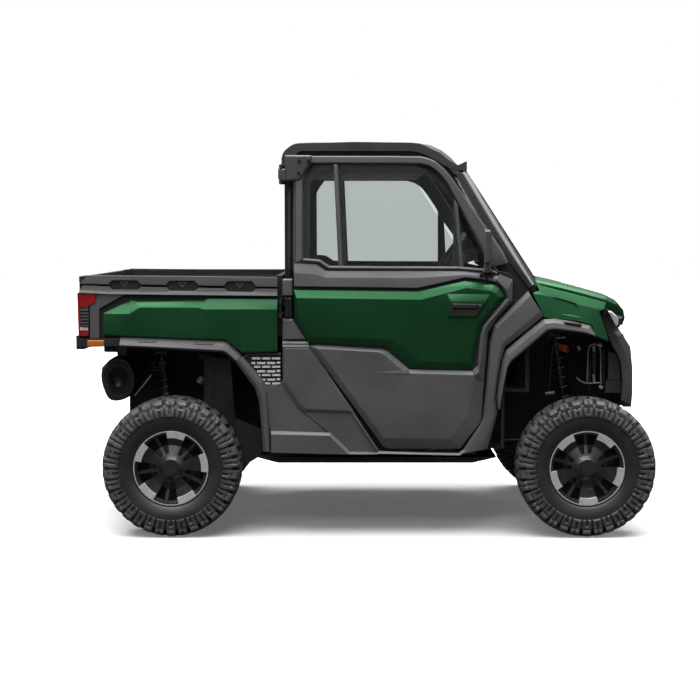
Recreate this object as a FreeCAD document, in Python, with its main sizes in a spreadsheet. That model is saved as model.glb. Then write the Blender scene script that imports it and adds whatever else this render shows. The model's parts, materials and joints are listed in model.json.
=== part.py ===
import FreeCAD, Part
import Sketcher
import math
import os

# A two-door utility side by side with a hard cab and a tipping cargo bed.
# The frame is +X forward, +Y left, +Z up, in millimetres, with the ground at Z = 0.
# Every driving size is a row of this sheet: its name, its value and what it measures.
SIZES = [
    ("WheelBase", 2060, "front axle to rear axle"),
    ("RearAxleX", -969, "rear axle, from the middle of the overall length"),
    ("AxleHeight", 346, "wheel centres above the ground"),
    ("TyreRadius", 346, "out to the lugs' tips"),
    ("LugDepth", 14, "tread lugs above the grooves"),
    ("HalfWidth", 810, "middle of the vehicle to the tyres' outer walls"),
    ("FrontTyreWidth", 230, "front tyre, wall to wall"),
    ("RearTyreWidth", 280, "rear tyre, wall to wall"),
    ("RimRadius", 195, "rim flange"),
    ("RimWall", 9, "rim barrel thickness"),
    ("BallJointRise", 82, "ball joints above and below the axle"),
    ("ArmSpread", 150, "suspension arms' inner pivots before and behind the axle"),
    ("ArmTube", 15, "suspension arm tube radius"),
    ("SteerArm", 90, "steering arm, behind the kingpin"),
    ("FrameTube", 22, "main frame tube radius"),
    ("BeltZ", 1330, "window sill"),
    ("RoofZ", 1957, "top of the roof"),
    ("CageTube", 22, "cab cage tube radius"),
    ("CageX", -383, "rear posts of the cage"),
    ("DoorThickness", 34, "door's base panel"),
    ("CladRise", 14, "door cladding over the base panel"),
    ("GlassThickness", 6, "cab glass"),
    ("BedFloorZ", 985, "bed floor"),
    ("BedFloorThickness", 25, "bed floor"),
    ("BedWall", 30, "bed side wall"),
    ("BedRailZ", 1295, "top of the bed's rails"),
    ("BedRearX", -1397, "bed's rear end, ahead of the tailgate"),
    ("GateThickness", 40, "tailgate"),
]


class Size:
    """A length that knows both its value and its formula in the sheet."""

    def __init__(self, value, formula):
        self.value = float(value)
        self.formula = formula

    def __float__(self):
        return self.value

    def __add__(self, other):
        other = sized(other)
        return Size(self.value + other.value, f"({self.formula} + {other.formula})")

    def __sub__(self, other):
        other = sized(other)
        return Size(self.value - other.value, f"({self.formula} - {other.formula})")

    def __mul__(self, other):
        other = sized(other)
        return Size(self.value * other.value, f"({self.formula} * {other.formula})")

    def __truediv__(self, other):
        other = sized(other)
        return Size(self.value / other.value, f"({self.formula} / {other.formula})")

    def __radd__(self, other):
        return sized(other) + self

    def __rsub__(self, other):
        return sized(other) - self

    def __rmul__(self, other):
        return sized(other) * self

    def __neg__(self):
        return Size(-self.value, f"(0 - {self.formula})")


def sized(number):
    return number if isinstance(number, Size) else Size(number, f"({float(number)!r})")


class Sizes:
    """The sheet's rows, read by name."""

    def __init__(self, document, rows):
        sheet = document.addObject("Spreadsheet::Sheet", "Sizes")
        self.rows = {}
        for line, (alias, value, note) in enumerate(rows, start=1):
            sheet.set(f"A{line}", alias)
            sheet.set(f"B{line}", str(value))
            sheet.set(f"C{line}", note)
            sheet.setAlias(f"B{line}", alias)
            self.rows[alias] = Size(value, f"Sizes.{alias}")
        document.recompute()

    def __getattr__(self, alias):
        return self.rows[alias]


V = FreeCAD.Vector
doc = FreeCAD.newDocument("SideBySide")
s = Sizes(doc, SIZES)
pieces = []

# Places that follow from the sheet

front_axle = s.RearAxleX + s.WheelBase
nose_x = front_axle + 262
tyre_bead = s.RimRadius - 14
kingpin_y = s.HalfWidth - 160
arm_pivot_y = s.HalfWidth * 0.235
rail_y = s.HalfWidth * 0.29
case_half = arm_pivot_y - 42
shock_y = kingpin_y * 0.6
hood_half = s.HalfWidth * 0.52

rail_z = s.AxleHeight + 64
floor_z = rail_z + 22
sill_z = rail_z + 15
belly_z = rail_z - 50
lower_pivot_z = s.AxleHeight + 24
upper_pivot_z = s.AxleHeight + 174
deck_z = s.BedFloorZ - 83
front_shock_z = s.BeltZ - 345
rear_shock_z = deck_z - 7

door_y = s.HalfWidth - 58
cage_base_y = door_y - 97
cage_top_y = door_y - 162
cage_top_z = s.RoofZ - 95
hinge_x = s.CageX - 40
hinge_low_y = door_y + 25
hinge_high_y = cage_top_y + 113
hinge_low_z = s.BeltZ - 192
hinge_high_z = s.RoofZ - 162

bed_y = s.HalfWidth - 75
bed_front_x = s.CageX - 58
bed_pivot_x = s.BedRearX + 25
bed_pivot_z = s.BedFloorZ - 45
tail_x = s.BedRearX - 40


# Document helpers

def bind(thing, prop, size):
    thing.setExpression(prop, sized(size).formula)


def keep(thing, node):
    """Names a finished sub-part and lists it for export."""
    thing.Label = node
    pieces.append(thing)
    return thing


def kept(node):
    return next(piece for piece in pieces if piece.Label == node)


def made(node, shape):
    """A sub-part whose shape comes from Part's own functions."""
    thing = doc.addObject("Part::Feature", node)
    thing.Shape = shape
    return thing


def mirrored(source, name):
    """The same piece on the vehicle's other side."""
    twin = doc.addObject("Part::Mirroring", name)
    twin.Source = source
    twin.Normal = V(0, 1, 0)
    twin.Base = V(0, 0, 0)
    return twin


def pair(source, node):
    """A right-hand piece and its left-hand twin, as one node."""
    both = doc.addObject("Part::Compound", node)
    both.Links = [source, mirrored(source, node + "_twin")]
    return keep(both, node)


def fused(links, name):
    whole = doc.addObject("Part::MultiFuse", name)
    whole.Shapes = links
    return whole


def cut(base, tool, name):
    rest = doc.addObject("Part::Cut", name)
    rest.Base = base
    rest.Tool = tool
    return rest


def box(name, low, size):
    """A block from its lowest corner and its three sizes."""
    block = doc.addObject("Part::Box", name)
    for prop, value in zip(("Length", "Width", "Height"), size):
        bind(block, prop, value)
    for axis, value in zip("xyz", low):
        bind(block, f"Placement.Base.{axis}", value)
    return block


AXIS_TURNS = {
    "x": FreeCAD.Rotation(V(0, 1, 0), 90),
    "y": FreeCAD.Rotation(V(1, 0, 0), -90),
    "z": FreeCAD.Rotation(),
}


def rod(name, start, radius, length, axis):
    """A round bar from its start, along +X, +Y or +Z."""
    bar = doc.addObject("Part::Cylinder", name)
    bar.Placement = FreeCAD.Placement(V(0, 0, 0), AXIS_TURNS[axis])
    bind(bar, "Radius", radius)
    bind(bar, "Height", length)
    for letter, value in zip("xyz", start):
        bind(bar, f"Placement.Base.{letter}", value)
    return bar


# Sketched bodies

def new_body(name):
    return doc.addObject("PartDesign::Body", name)


def plane_of(body, role):
    return next(f for f in body.Origin.OriginFeatures if f.Role == role)


def new_sketch(body, role, offset, name):
    """A sketch on one of the body's planes. On XZ_Plane the offset is towards -Y."""
    sketch = body.newObject("Sketcher::SketchObject", name)
    sketch.AttachmentSupport = [(plane_of(body, role), "")]
    sketch.MapMode = "FlatFace"
    bind(sketch, "AttachmentOffset.Base.z", offset)
    return sketch


def corner_arc(before, at, after, radius):
    """Tangent points and arc of a rounded corner, and whether it turns left."""
    u = (before - at).normalize()
    w = (after - at).normalize()
    half = u.getAngle(w) / 2
    run = radius / math.tan(half)
    centre = at + (u + w).normalize() * (radius / math.sin(half))
    first, last = at + u * run, at + w * run
    left = (at - before).cross(after - at).z > 0
    a0 = math.atan2(first.y - centre.y, first.x - centre.x)
    a1 = math.atan2(last.y - centre.y, last.x - centre.x)
    circle = Part.Circle(centre, V(0, 0, 1), radius)
    arc = Part.ArcOfCircle(circle, a0, a1) if left else Part.ArcOfCircle(circle, a1, a0)
    return first, last, arc, left


def outline(sketch, corners):
    """Draws a closed outline. A corner is (across, up), or (across, up, radius) where it is round."""
    places = [V(float(c[0]), float(c[1]), 0) for c in corners]
    count = len(corners)
    rounds = [
        corner_arc(places[i - 1], places[i], places[(i + 1) % count], float(c[2])) if len(c) > 2 else None
        for i, c in enumerate(corners)
    ]
    lines = []
    for i in range(count):
        start = rounds[i][1] if rounds[i] else places[i]
        after = rounds[(i + 1) % count]
        end = after[0] if after else places[(i + 1) % count]
        lines.append(sketch.addGeometry(Part.LineSegment(start, end)))

    def place(geometry, point, corner):
        for kind, value in zip(("DistanceX", "DistanceY"), corner):
            row = sketch.addConstraint(Sketcher.Constraint(kind, -1, 1, geometry, point, float(value)))
            bind(sketch, f"Constraints[{row}]", value)

    for i, corner in enumerate(corners):
        before = lines[i - 1]
        if not rounds[i]:
            sketch.addConstraint(Sketcher.Constraint("Coincident", before, 2, lines[i], 1))
            place(lines[i], 1, corner)
            continue
        mark = sketch.addGeometry(Part.Point(places[i]), True)
        place(mark, 1, corner)
        sketch.addConstraint(Sketcher.Constraint("PointOnObject", mark, 1, before))
        sketch.addConstraint(Sketcher.Constraint("PointOnObject", mark, 1, lines[i]))
        first, last, arc, left = rounds[i]
        bow = sketch.addGeometry(arc)
        sketch.addConstraint(Sketcher.Constraint("Tangent", before, 2, bow, 1 if left else 2))
        sketch.addConstraint(Sketcher.Constraint("Tangent", lines[i], 1, bow, 2 if left else 1))
        row = sketch.addConstraint(Sketcher.Constraint("Radius", bow, float(corner[2])))
        bind(sketch, f"Constraints[{row}]", corner[2])
    return sketch


def pad(body, sketch, length, inward=True):
    feature = body.newObject("PartDesign::Pad", sketch.Name + "_pad")
    feature.Profile = sketch
    bind(feature, "Length", length)
    feature.Reversed = inward
    return feature


def pocket(body, sketch, length, inward=True):
    feature = body.newObject("PartDesign::Pocket", sketch.Name + "_pocket")
    feature.Profile = sketch
    bind(feature, "Length", length)
    feature.Reversed = not inward
    return feature


def side_plate(name, corners, face, thickness):
    """A right-hand panel: its XZ outline, its outer face's distance from the middle, and its thickness inward."""
    body = new_body(name)
    pad(body, outline(new_sketch(body, "XZ_Plane", face, name + "_outline"), corners), thickness)
    return body


def across_plate(name, corners, half):
    """A profile in XZ carried right across the vehicle."""
    body = new_body(name)
    pad(body, outline(new_sketch(body, "XZ_Plane", half, name + "_outline"), corners), half * 2)
    return body


def bevel(body, base, chooser, size, deep=None):
    """Chamfers the edges that the chooser picks. With a depth, the chamfer has two different legs."""
    doc.recompute()
    feature = body.newObject("PartDesign::Chamfer", base.Name + "_bevel")
    names = [f"Edge{i + 1}" for i, e in enumerate(base.Shape.Edges) if chooser(e)]
    feature.Base = (base, names)
    bind(feature, "Size", size)
    if deep is not None:
        feature.ChamferType = "Two distances"
        bind(feature, "Size2", deep)
    return feature


def on_face(y):
    """Picks the edges that lie in the plane at this distance from the middle, on the right."""
    def chooser(edge):
        return all(abs(v.Y + float(y)) < 0.01 for v in edge.Vertexes)
    return chooser


# Tubes

def bent_path(points, bends):
    """Straight runs through the points, joined by arcs of the bends' radii."""
    points = [V(*[float(c) for c in p]) for p in points]
    edges, last = [], points[0]
    for i in range(1, len(points) - 1):
        bend = float(bends[i - 1])
        u = (points[i - 1] - points[i]).normalize()
        w = (points[i + 1] - points[i]).normalize()
        half = u.getAngle(w) / 2
        run = bend / math.tan(half)
        a, b = points[i] + u * run, points[i] + w * run
        centre = points[i] + (u + w).normalize() * (bend / math.sin(half))
        middle = centre + (points[i] - centre).normalize() * bend
        edges.append(Part.makeLine(last, a))
        edges.append(Part.Arc(a, middle, b).toShape())
        last = b
    edges.append(Part.makeLine(last, points[-1]))
    return Part.Wire(edges)


def tube(points, radius, bends):
    """A round bar along a bent path, with one bend radius for each inner point."""
    path = bent_path(points, bends)
    start = path.Edges[0]
    direction = start.tangentAt(start.FirstParameter)
    ring = Part.Wire([Part.makeCircle(float(radius), start.valueAt(start.FirstParameter), direction)])
    return path.makePipeShell([ring], True, False)


def bar(a, b, radius):
    a, b = V(*[float(c) for c in a]), V(*[float(c) for c in b])
    return Part.makeCylinder(float(radius), (b - a).Length, a, b - a)


def block(low, high):
    low, high = [float(c) for c in low], [float(c) for c in high]
    return Part.makeBox(high[0] - low[0], high[1] - low[1], high[2] - low[2], V(*low))


def joined(shapes):
    whole = shapes[0].fuse(shapes[1:]) if len(shapes) > 1 else shapes[0]
    return whole.removeSplitter()


def both_sides(shapes):
    """The shapes and their mirror images across the vehicle's middle."""
    return shapes + [shape.mirror(V(0, 0, 0), V(0, 1, 0)) for shape in shapes]


# Wheels

def tyre_shape(width, outer):
    """A ring of flat facets with staggered lugs, its outer wall at y = 0 and its inner wall at +width."""
    sectors = 56
    wide, top, bead = float(width), float(outer), float(tyre_bead)
    groove = top - float(s.LugDepth)
    seat = 0.10 * wide + 6.3
    wall = [(seat, bead), (seat, bead + 15), (0.0, (top + bead) / 2), (0.03 * wide, top - 44)]
    crown = (0.5 * wide, groove)

    def block_at(height):
        return [(0.08 * wide, height), (0.43 * wide, height)]

    def across(points):
        return [(wide - y, r) for y, r in reversed(points)]

    profiles = [
        wall + block_at(top) + [crown] + across(wall + block_at(groove)),
        wall + block_at(groove) + [crown] + across(wall + block_at(top)),
    ]
    step_side = wall[-1:] + block_at(top) + [crown] + block_at(groove)[::-1]
    far_side = [(wide - y, r) for y, r in step_side]

    def at(point, step):
        turn = 2 * math.pi * step / sectors
        y, r = point
        return V(r * math.sin(turn), y, r * math.cos(turn))

    def flat(corners):
        return Part.Face(Part.makePolygon(corners + corners[:1]))

    faces = []
    for step in range(sectors):
        profile = profiles[step % 2]
        for i, point in enumerate(profile):
            after = profile[(i + 1) % len(profile)]
            faces.append(flat([at(point, step), at(after, step), at(after, step + 1), at(point, step + 1)]))
        faces.append(flat([at(point, step) for point in step_side]))
        faces.append(flat([at(point, step) for point in far_side]))
    shell = Part.makeShell(faces)
    shell.sewShape()
    solid = Part.makeSolid(shell)
    if solid.Volume < 0:
        solid.reverse()
    return solid


def rim_body(name, width):
    """The rim's barrel, its dished disc and five pairs of windows with a thin rib between, about the Y axis."""
    body = new_body(name)
    out = -s.HalfWidth
    lip = out + width * 0.10
    profile = new_sketch(body, "YZ_Plane", 0, name + "_profile")
    seat = tyre_bead - 1
    inner = seat - s.RimWall
    outline(profile, [
        (lip, s.RimRadius), (lip, inner + 3), (lip + 6, inner), (lip + 20, inner), (lip + 34, inner - 60),
        (lip + 16, 62), (lip - 2, 44), (lip - 2, 12), (lip + 70, 12), (lip + 70, 52), (lip + 48, inner - 60),
        (lip + 52, inner), (out + width * 0.90, inner), (out + width * 0.90, s.RimRadius),
        (out + width * 0.90 - 6, s.RimRadius), (out + width * 0.90 - 6, seat), (lip + 6, seat),
        (lip + 6, s.RimRadius),
    ])
    turned = body.newObject("PartDesign::Revolution", name + "_turned")
    turned.Profile = profile
    turned.ReferenceAxis = (profile, ["H_Axis"])
    turned.Angle = 360
    windows = new_sketch(body, "XZ_Plane", s.HalfWidth + 40, name + "_window")
    outline(windows, [(-56, inner - 14, 8), (-25, 70, 6), (-8, 70), (-8, inner - 3)])
    outline(windows, [(56, inner - 14, 8), (8, inner - 3), (8, 70), (25, 70, 6)])
    opening = pocket(body, windows, 150)
    around = body.newObject("PartDesign::PolarPattern", name + "_five")
    around.Originals = [opening]
    around.Axis = (profile, ["H_Axis"])
    around.Angle = 360
    around.Occurrences = 5
    body.Tip = around
    return body


def build_wheels():
    rows = (("front", front_axle, s.FrontTyreWidth, -3), ("rear", s.RearAxleX, s.RearTyreWidth, -27))
    for end, axle, width, turn in rows:
        tyre = made(f"tyre_{end}_right", tyre_shape(width, s.TyreRadius))
        tyre.Placement.Base = V(float(axle), -float(s.HalfWidth), float(s.AxleHeight))
        rim = rim_body(f"rim_{end}_right", width)
        rim.Placement = FreeCAD.Placement(V(0, 0, 0), FreeCAD.Rotation(V(0, 1, 0), turn))
        bind(rim, "Placement.Base.x", axle)
        bind(rim, "Placement.Base.z", s.AxleHeight)
        disc = rod(f"disc_{end}", (axle, -kingpin_y - 42, s.AxleHeight), 118, 6, "y")
        face = s.HalfWidth - width * 0.10 - 40
        hub = rod(f"hub_{end}", (axle, -face, s.AxleHeight), 45, face - kingpin_y - 35, "y")
        cap = rod(f"cap_{end}", (axle, -(face + 54), s.AxleHeight), 31, 60, "y")
        whole = fused([rim, disc, hub, cap], f"rim_{end}_right_whole")
        bore = rod(f"bore_{end}", (axle, -kingpin_y - 66, s.AxleHeight), 14.4, 40, "y")
        wheel = cut(whole, bore, f"wheel_{end}_right")
        keep(tyre, f"tyre_{end}_right")
        keep(mirrored(tyre, f"tyre_{end}_left"), f"tyre_{end}_left")
        keep(wheel, f"wheel_{end}_right")
        keep(mirrored(wheel, f"wheel_{end}_left"), f"wheel_{end}_left")


# Suspension and steering

def arm_shape(axle, pivot_z, joint_z, ears, stud_radius):
    """One A-arm: two legs from the inner pivots to the ball joint, with sleeves at the pivots."""
    joint = (axle, -kingpin_y, joint_z)
    legs = [bar((axle, -kingpin_y, joint_z - 16), (axle, -kingpin_y, joint_z + 16), 24)]
    for side in (-1, 1):
        foot = (axle + s.ArmSpread * side, -arm_pivot_y, pivot_z)
        legs.append(bar(foot, joint, s.ArmTube))
        legs.append(bar((foot[0] - 28, foot[1], foot[2]), (foot[0] + 28, foot[1], foot[2]), 20))
    y = -(arm_pivot_y * 0.55 + kingpin_y * 0.45)
    z = pivot_z * 0.55 + joint_z * 0.45
    legs.append(bar((axle - s.ArmSpread * 0.55, y, z), (axle + s.ArmSpread * 0.55, y, z), 13))
    if ears:
        for x in (axle - 76, axle - 22.7):
            legs.append(block((x, y - 20, z - 8), (x + 8.7, y + 20, z + 62)))
    stud = bar((axle, -kingpin_y, joint_z - 30), (axle, -kingpin_y, joint_z + 30), stud_radius)
    return joined(legs).cut(stud)


def knuckle_shape(axle, arm):
    """An upright between the ball joints, with the hub carrier, the brake calliper astride its disc
    and, where it steers, a steering arm."""
    y, z = -kingpin_y, s.AxleHeight
    reach = s.BallJointRise - 17.5
    calliper = block((axle + 56, y - 58, z - 48), (axle + 136, y + 8, z + 48))
    disc_slot = block((axle + 50, y - 46, z - 60), (axle + 123, y - 31, z + 60))
    shapes = [
        block((axle - 22, y - 20, z - reach + 8), (axle + 22, y + 18, z + reach)),
        bar((axle, y - 32, z), (axle, y + 26, z), 52),
        bar((axle, y - 65, z), (axle, y, z), 14),
        bar((axle, y, z - s.BallJointRise - 12), (axle, y, z + s.BallJointRise + 12), 8),
        calliper.cut(disc_slot),
        block((axle + 20, y - 8, z - 26), (axle + 70, y + 8, z + 26)),
    ]
    if arm:
        shapes.append(block((axle - s.SteerArm - 14, y - 8, z + 46), (axle - 15, y + 14, z + 58)))
    return joined(shapes)


def shock_shape(top, foot):
    """A coil-over damper: body, rod, the eyes, the two spring seats and the coil between them."""
    top, foot = V(*[float(c) for c in top]), V(*[float(c) for c in foot])
    length = (top - foot).Length
    low, high = 58, length - 62
    radius, wire, turns = 37, 6, 7
    helix = Part.makeLongHelix((high - low) / turns, high - low, radius, 0)
    ring = Part.Wire([Part.makeCircle(wire, V(radius, 0, 0), V(0, 1, 0))])
    coil = Part.Wire(helix.Edges).makePipeShell([ring], True, True)
    coil.translate(V(0, 0, low))
    damper = joined([
        Part.makeCylinder(11, length), Part.makeCylinder(21, length * 0.52, V(0, 0, length * 0.40)),
        Part.makeCylinder(46, 14, V(0, 0, low - 10)), Part.makeCylinder(46, 14, V(0, 0, high - 4)), coil,
    ])
    damper.Placement = FreeCAD.Placement(foot, FreeCAD.Rotation(V(0, 0, 1), top - foot))
    eyes = [Part.makeCylinder(18, 44, end - V(22, 0, 0), V(1, 0, 0)) for end in (top, foot)]
    return joined([damper] + eyes)


def build_suspension():
    ball_low, ball_high = s.AxleHeight - s.BallJointRise, s.AxleHeight + s.BallJointRise
    arms = []
    for axle, stud_radius in ((front_axle, 9), (s.RearAxleX, 8)):
        arms.append(arm_shape(axle, lower_pivot_z, ball_low, False, stud_radius))
        arms.append(arm_shape(axle, upper_pivot_z, ball_high, True, stud_radius))
    keep(made("suspension_arms", Part.makeCompound(both_sides(arms))), "suspension_arms")

    foot_y = -(arm_pivot_y * 0.55 + kingpin_y * 0.45)
    foot_z = upper_pivot_z * 0.55 + ball_high * 0.45 + 40
    shocks = [
        shock_shape((front_axle - 120, -shock_y, front_shock_z), (front_axle - 45, foot_y, foot_z)),
        shock_shape((s.RearAxleX - 92, -shock_y, rear_shock_z), (s.RearAxleX - 45, foot_y, foot_z)),
    ]
    keep(made("shocks", Part.makeCompound(both_sides(shocks))), "shocks")

    rear = knuckle_shape(s.RearAxleX, False)
    keep(made("rear_knuckles", Part.makeCompound(both_sides([rear]))), "rear_knuckles")
    steered = made("knuckle_right", knuckle_shape(front_axle, True))
    keep(steered, "knuckle_right")
    keep(mirrored(steered, "knuckle_left"), "knuckle_left")

    shaft_z = s.AxleHeight + 134
    shafts = []
    for axle, end in ((front_axle, 60), (s.RearAxleX, 37)):
        inner = V(float(axle), -float(case_half + 10.8), float(shaft_z))
        outer = V(float(axle), -float(kingpin_y - end), float(s.AxleHeight + 12))
        along = (outer - inner).normalize()
        shafts.append(joined([
            bar(inner, outer, 14), bar(inner, inner + along * 52, 38), bar(outer - along * 60, outer, 36),
        ]))
    keep(made("half_shafts", Part.makeCompound(both_sides(shafts))), "half_shafts")

    rack_x, rack_z = front_axle - s.SteerArm, s.AxleHeight + 110
    rack_end = case_half + 62
    low, top = s.AxleHeight + 20, s.AxleHeight + 180
    front_case = joined(
        [block((front_axle - 70, -case_half, low), (front_axle + 110, case_half, top))]
        + both_sides([block((rack_x - 24, -case_half - 10, rack_z - 18), (front_axle - 70, -30, rack_z + 18))])
    )
    bores = both_sides([bar((rack_x, -rack_end + 30, rack_z), (rack_x, -36, rack_z), 12)])
    rear_case = block((s.RearAxleX - 120, -case_half, low), (s.RearAxleX + 188.7, case_half, top))
    shaft = bar((s.RearAxleX + 550, 0, shaft_z), (front_axle - 70, 0, shaft_z), 20)
    keep(made("driveline", Part.makeCompound([front_case.cut(bores), rear_case, shaft])), "driveline")

    eye_z = s.AxleHeight + 69
    link = joined([
        bar((rack_x, -kingpin_y, eye_z), (rack_x, -rack_end, rack_z), 9),
        bar((rack_x, -kingpin_y, eye_z - 9), (rack_x, -kingpin_y, eye_z + 9), 15),
        bar((rack_x, -rack_end - 8, rack_z), (rack_x, -case_half + 48, rack_z), 11.7),
    ])
    keep(made("tie_rods", Part.makeCompound(both_sides([link]))), "tie_rods")


# Frame and drive

def build_frame():
    rail, half, z = s.FrameTube, rail_y, rail_z
    cross = rail - 3
    rear, front, scuttle = s.RearAxleX - 198, front_axle + 190, front_axle - 250
    sill_y = door_y - 62
    ladder = [
        bar((rear, -half, z), (front, -half, z), rail),
        bar((s.CageX + 44, -sill_y, z + 6), (front_axle - 544, -sill_y, z + 6), 16),
    ]
    for x in (s.CageX + 60, s.CageX + 430, front_axle - 560):
        ladder.append(bar((x, -half, z + 6), (x, -sill_y, z + 6), 13))
    for axle in (front_axle, s.RearAxleX):
        for side in (-1, 1):
            for ear in (-38, 28.3):
                x = axle + s.ArmSpread * side + ear
                ladder.append(block((x, -half + 10, z - 60), (x + 9.7, -arm_pivot_y + 30, upper_pivot_z + 30)))
    ladder = both_sides(ladder)
    for x in (rear, s.RearAxleX + 210, s.CageX - 90, s.CageX + 430, scuttle, front):
        ladder.append(bar((x, -half, z), (x, half, z), cross))
    hitch = block((rear - 150, -32, z - 32), (rear + 10, 32, z + 32))
    cavity = block((rear - 151, -25.5, z - 25.5), (rear - 24, 25.5, z + 25.5))
    pin_hole = bar((rear - 50, -40, z), (rear - 50, 40, z), 8)
    base = joined(ladder + [hitch]).cut([cavity, pin_hole])
    keep(made("frame", base), "frame")

    pivot = bed_pivot_x
    mount_x, rear_mount_x = front_axle - 120, s.RearAxleX - 92
    reach = shock_y - 23
    uprights = [
        bar((pivot - 8, -half, deck_z), (s.CageX - 30, -half, deck_z), rail),
        bar((front, -half, z), (front, -half, front_shock_z - 125), rail),
        bar((scuttle, -half, z), (scuttle, -half, front_shock_z + 85), rail),
        bar((front, -half, front_shock_z - 140), (scuttle, -half, front_shock_z + 70), cross),
        bar((mount_x, -half, front_shock_z + 8), (mount_x, -reach, front_shock_z + 8), 16),
        bar((rear_mount_x, -half, deck_z), (rear_mount_x, -reach, rear_shock_z), 16),
        block((pivot - 8, -half, deck_z), (pivot + 14, -half + 24, bed_pivot_z)),
        bar((pivot, -half, bed_pivot_z), (pivot, -half + 24, bed_pivot_z), 14),
        bar((pivot, -half + 20, bed_pivot_z), (pivot, -half + 69, bed_pivot_z), 8),
        block((s.RearAxleX - 325, -half - 10, deck_z - 35), (s.RearAxleX - 305, -half + 10, deck_z - 10)),
    ]
    for x in (rear, s.RearAxleX + 210, s.CageX - 20):
        uprights.append(bar((x, -half, z), (x, -half, deck_z), cross))
    for x, top in ((mount_x, front_shock_z), (rear_mount_x, rear_shock_z)):
        for ear in (x - 31, x + 22.3):
            uprights.append(block((ear, -shock_y - 22, top - 22), (ear + 8.7, -shock_y + 30, top + 22)))
        uprights.append(block((x - 31, -shock_y + 21, top - 22), (x + 31, -shock_y + 30, top + 22)))
    uprights = both_sides(uprights)
    for x, top in ((rear, deck_z), (s.CageX - 20, deck_z), (front, front_shock_z - 225)):
        uprights.append(bar((x, -half, top), (x, half, top), rail - 4))
    keep(made("frame_uprights", joined(uprights).cut(base)), "frame_uprights")

    top = rail_z - s.FrameTube
    pan = across_plate("belly_pan", [
        (s.RearAxleX + 420, top), (s.CageX - 60, belly_z), (front_axle - 560, belly_z), (front_axle - 440, top),
    ], door_y - 60)
    keep(pan, "belly_pan")

    corner = (s.RearAxleX + 189, -rail_y * 0.73, rail_z + cross)
    engine = box("engine_block", corner, (360.7, rail_y * 1.46, 380))
    keep(engine, "engine")

    silencer = new_body("exhaust_body")
    x, z = s.RearAxleX - 315, deck_z - 147
    outer_y = shock_y + 170

    def can(sketch, inset):
        """The silencer's rounded outline, drawn in by an inset."""
        side, crown = 88 - inset, 112 - inset
        return outline(sketch, [
            (x - side, z - 40, 30), (x - side, z + 50, 30), (x - 30, z + crown, 30), (x + 45, z + crown, 30),
            (x + side, z + 60, 30), (x + side, z - 50, 30), (x + 40, z - crown, 30), (x - 40, z - crown, 30),
        ])

    pad(silencer, can(new_sketch(silencer, "XZ_Plane", outer_y, "exhaust_outline"), 0), 520)
    pocket(silencer, can(new_sketch(silencer, "XZ_Plane", outer_y, "exhaust_cap"), 16), 14)
    ring = new_sketch(silencer, "XZ_Plane", outer_y - 14, "exhaust_outlet")
    outline(ring, [(x - 34, z - 34, 20), (x - 34, z + 34, 20), (x + 34, z + 34, 20), (x + 34, z - 34, 20)])
    pad(silencer, ring, 10, inward=False)
    mouth = new_sketch(silencer, "XZ_Plane", outer_y - 4, "exhaust_mouth")
    outline(mouth, [(x - 26, z - 26, 14), (x - 26, z + 26, 14), (x + 26, z + 26, 14), (x + 26, z - 26, 14)])
    pocket(silencer, mouth, 60)
    keep(silencer, "exhaust")


# Cab

def build_cab():
    floor, width = floor_z, door_y - 62
    rear, front = s.CageX + s.CageTube, front_axle - 330
    tub = joined([
        block((rear, -width, floor), (front - 71, width, floor + 12)),
        block((rear, -width, floor), (rear + 20, width, s.BeltZ - 40)),
        block((front - 91, -width, floor), (front - 71, width, floor + 300)),
        block((front - 91, -width, floor + 285), (front + 50, width, floor + 300)),
        block((front + 30, -width, floor + 285), (front + 50, width, s.BeltZ - 130)),
        block((rear + 5, -width, floor), (rear + 480, width, floor + 300)),
        block((rear, -66, floor), (front - 71, 66, floor + 90)),
    ])
    tunnel = block((rear - 1, -54, floor - 1), (front - 70, 54, floor + 78))
    keep(made("cab_tub", tub.cut(tunnel)), "cab_tub")

    half = width - 40
    low = floor + 300.3
    cushion = across_plate("bench_cushion_body", [
        (rear + 50, low), (rear + 480, low), (rear + 505, low + 60, 30), (rear + 490, low + 120, 45),
        (rear + 50, low + 120),
    ], half)
    keep(cushion, "bench_cushion")
    low = floor + 420.6
    back = across_plate("bench_back_body", [
        (rear + 20.3, low), (rear + 200, low), (rear + 175, low + 160, 200), (rear + 130, low + 470, 40),
        (rear + 20.3, low + 470, 30),
    ], half)
    keep(back, "bench_back")

    dash = across_plate("dashboard_body", [
        (front - 250, s.BeltZ - 180), (front - 150, s.BeltZ - 330), (front + 29.7, s.BeltZ - 330),
        (front + 29.7, s.BeltZ - 90), (front - 60, s.BeltZ - 35, 30), (front - 230, s.BeltZ - 70, 30),
    ], width - 10)
    centre = V(float(front_axle - 640), float(s.HalfWidth * 0.432), float(s.BeltZ + 20))
    tilt = math.radians(35)
    lean = V(-math.cos(tilt), 0, math.sin(tilt))
    across = V(math.sin(tilt), 0, math.cos(tilt))
    spigot = Part.makeCylinder(10, 30, centre - lean * 50, lean)
    stem = joined([Part.makeCylinder(22, 190, centre - lean * 48, lean * -1), spigot])
    column = keep(made("steering_column", stem), "steering_column")
    keep(cut(dash, column, "dashboard"), "dashboard")
    rim = Part.makeTorus(180, 15, centre, lean)
    rim.rotate(centre, lean, 25)
    wheel = [rim, Part.makeCylinder(45, 30, centre - lean * 45, lean)]
    for direction in (V(0, 1, 0), V(0, -1, 0), across * -1):
        wheel.append(bar(centre - lean * 31 + direction * 30, centre - lean * 3 + direction * 180, 10))
    bore = Part.makeCylinder(10.4, 30, centre - lean * 47, lean)
    keep(made("steering_wheel", joined(wheel).cut(bore)), "steering_wheel")


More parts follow.
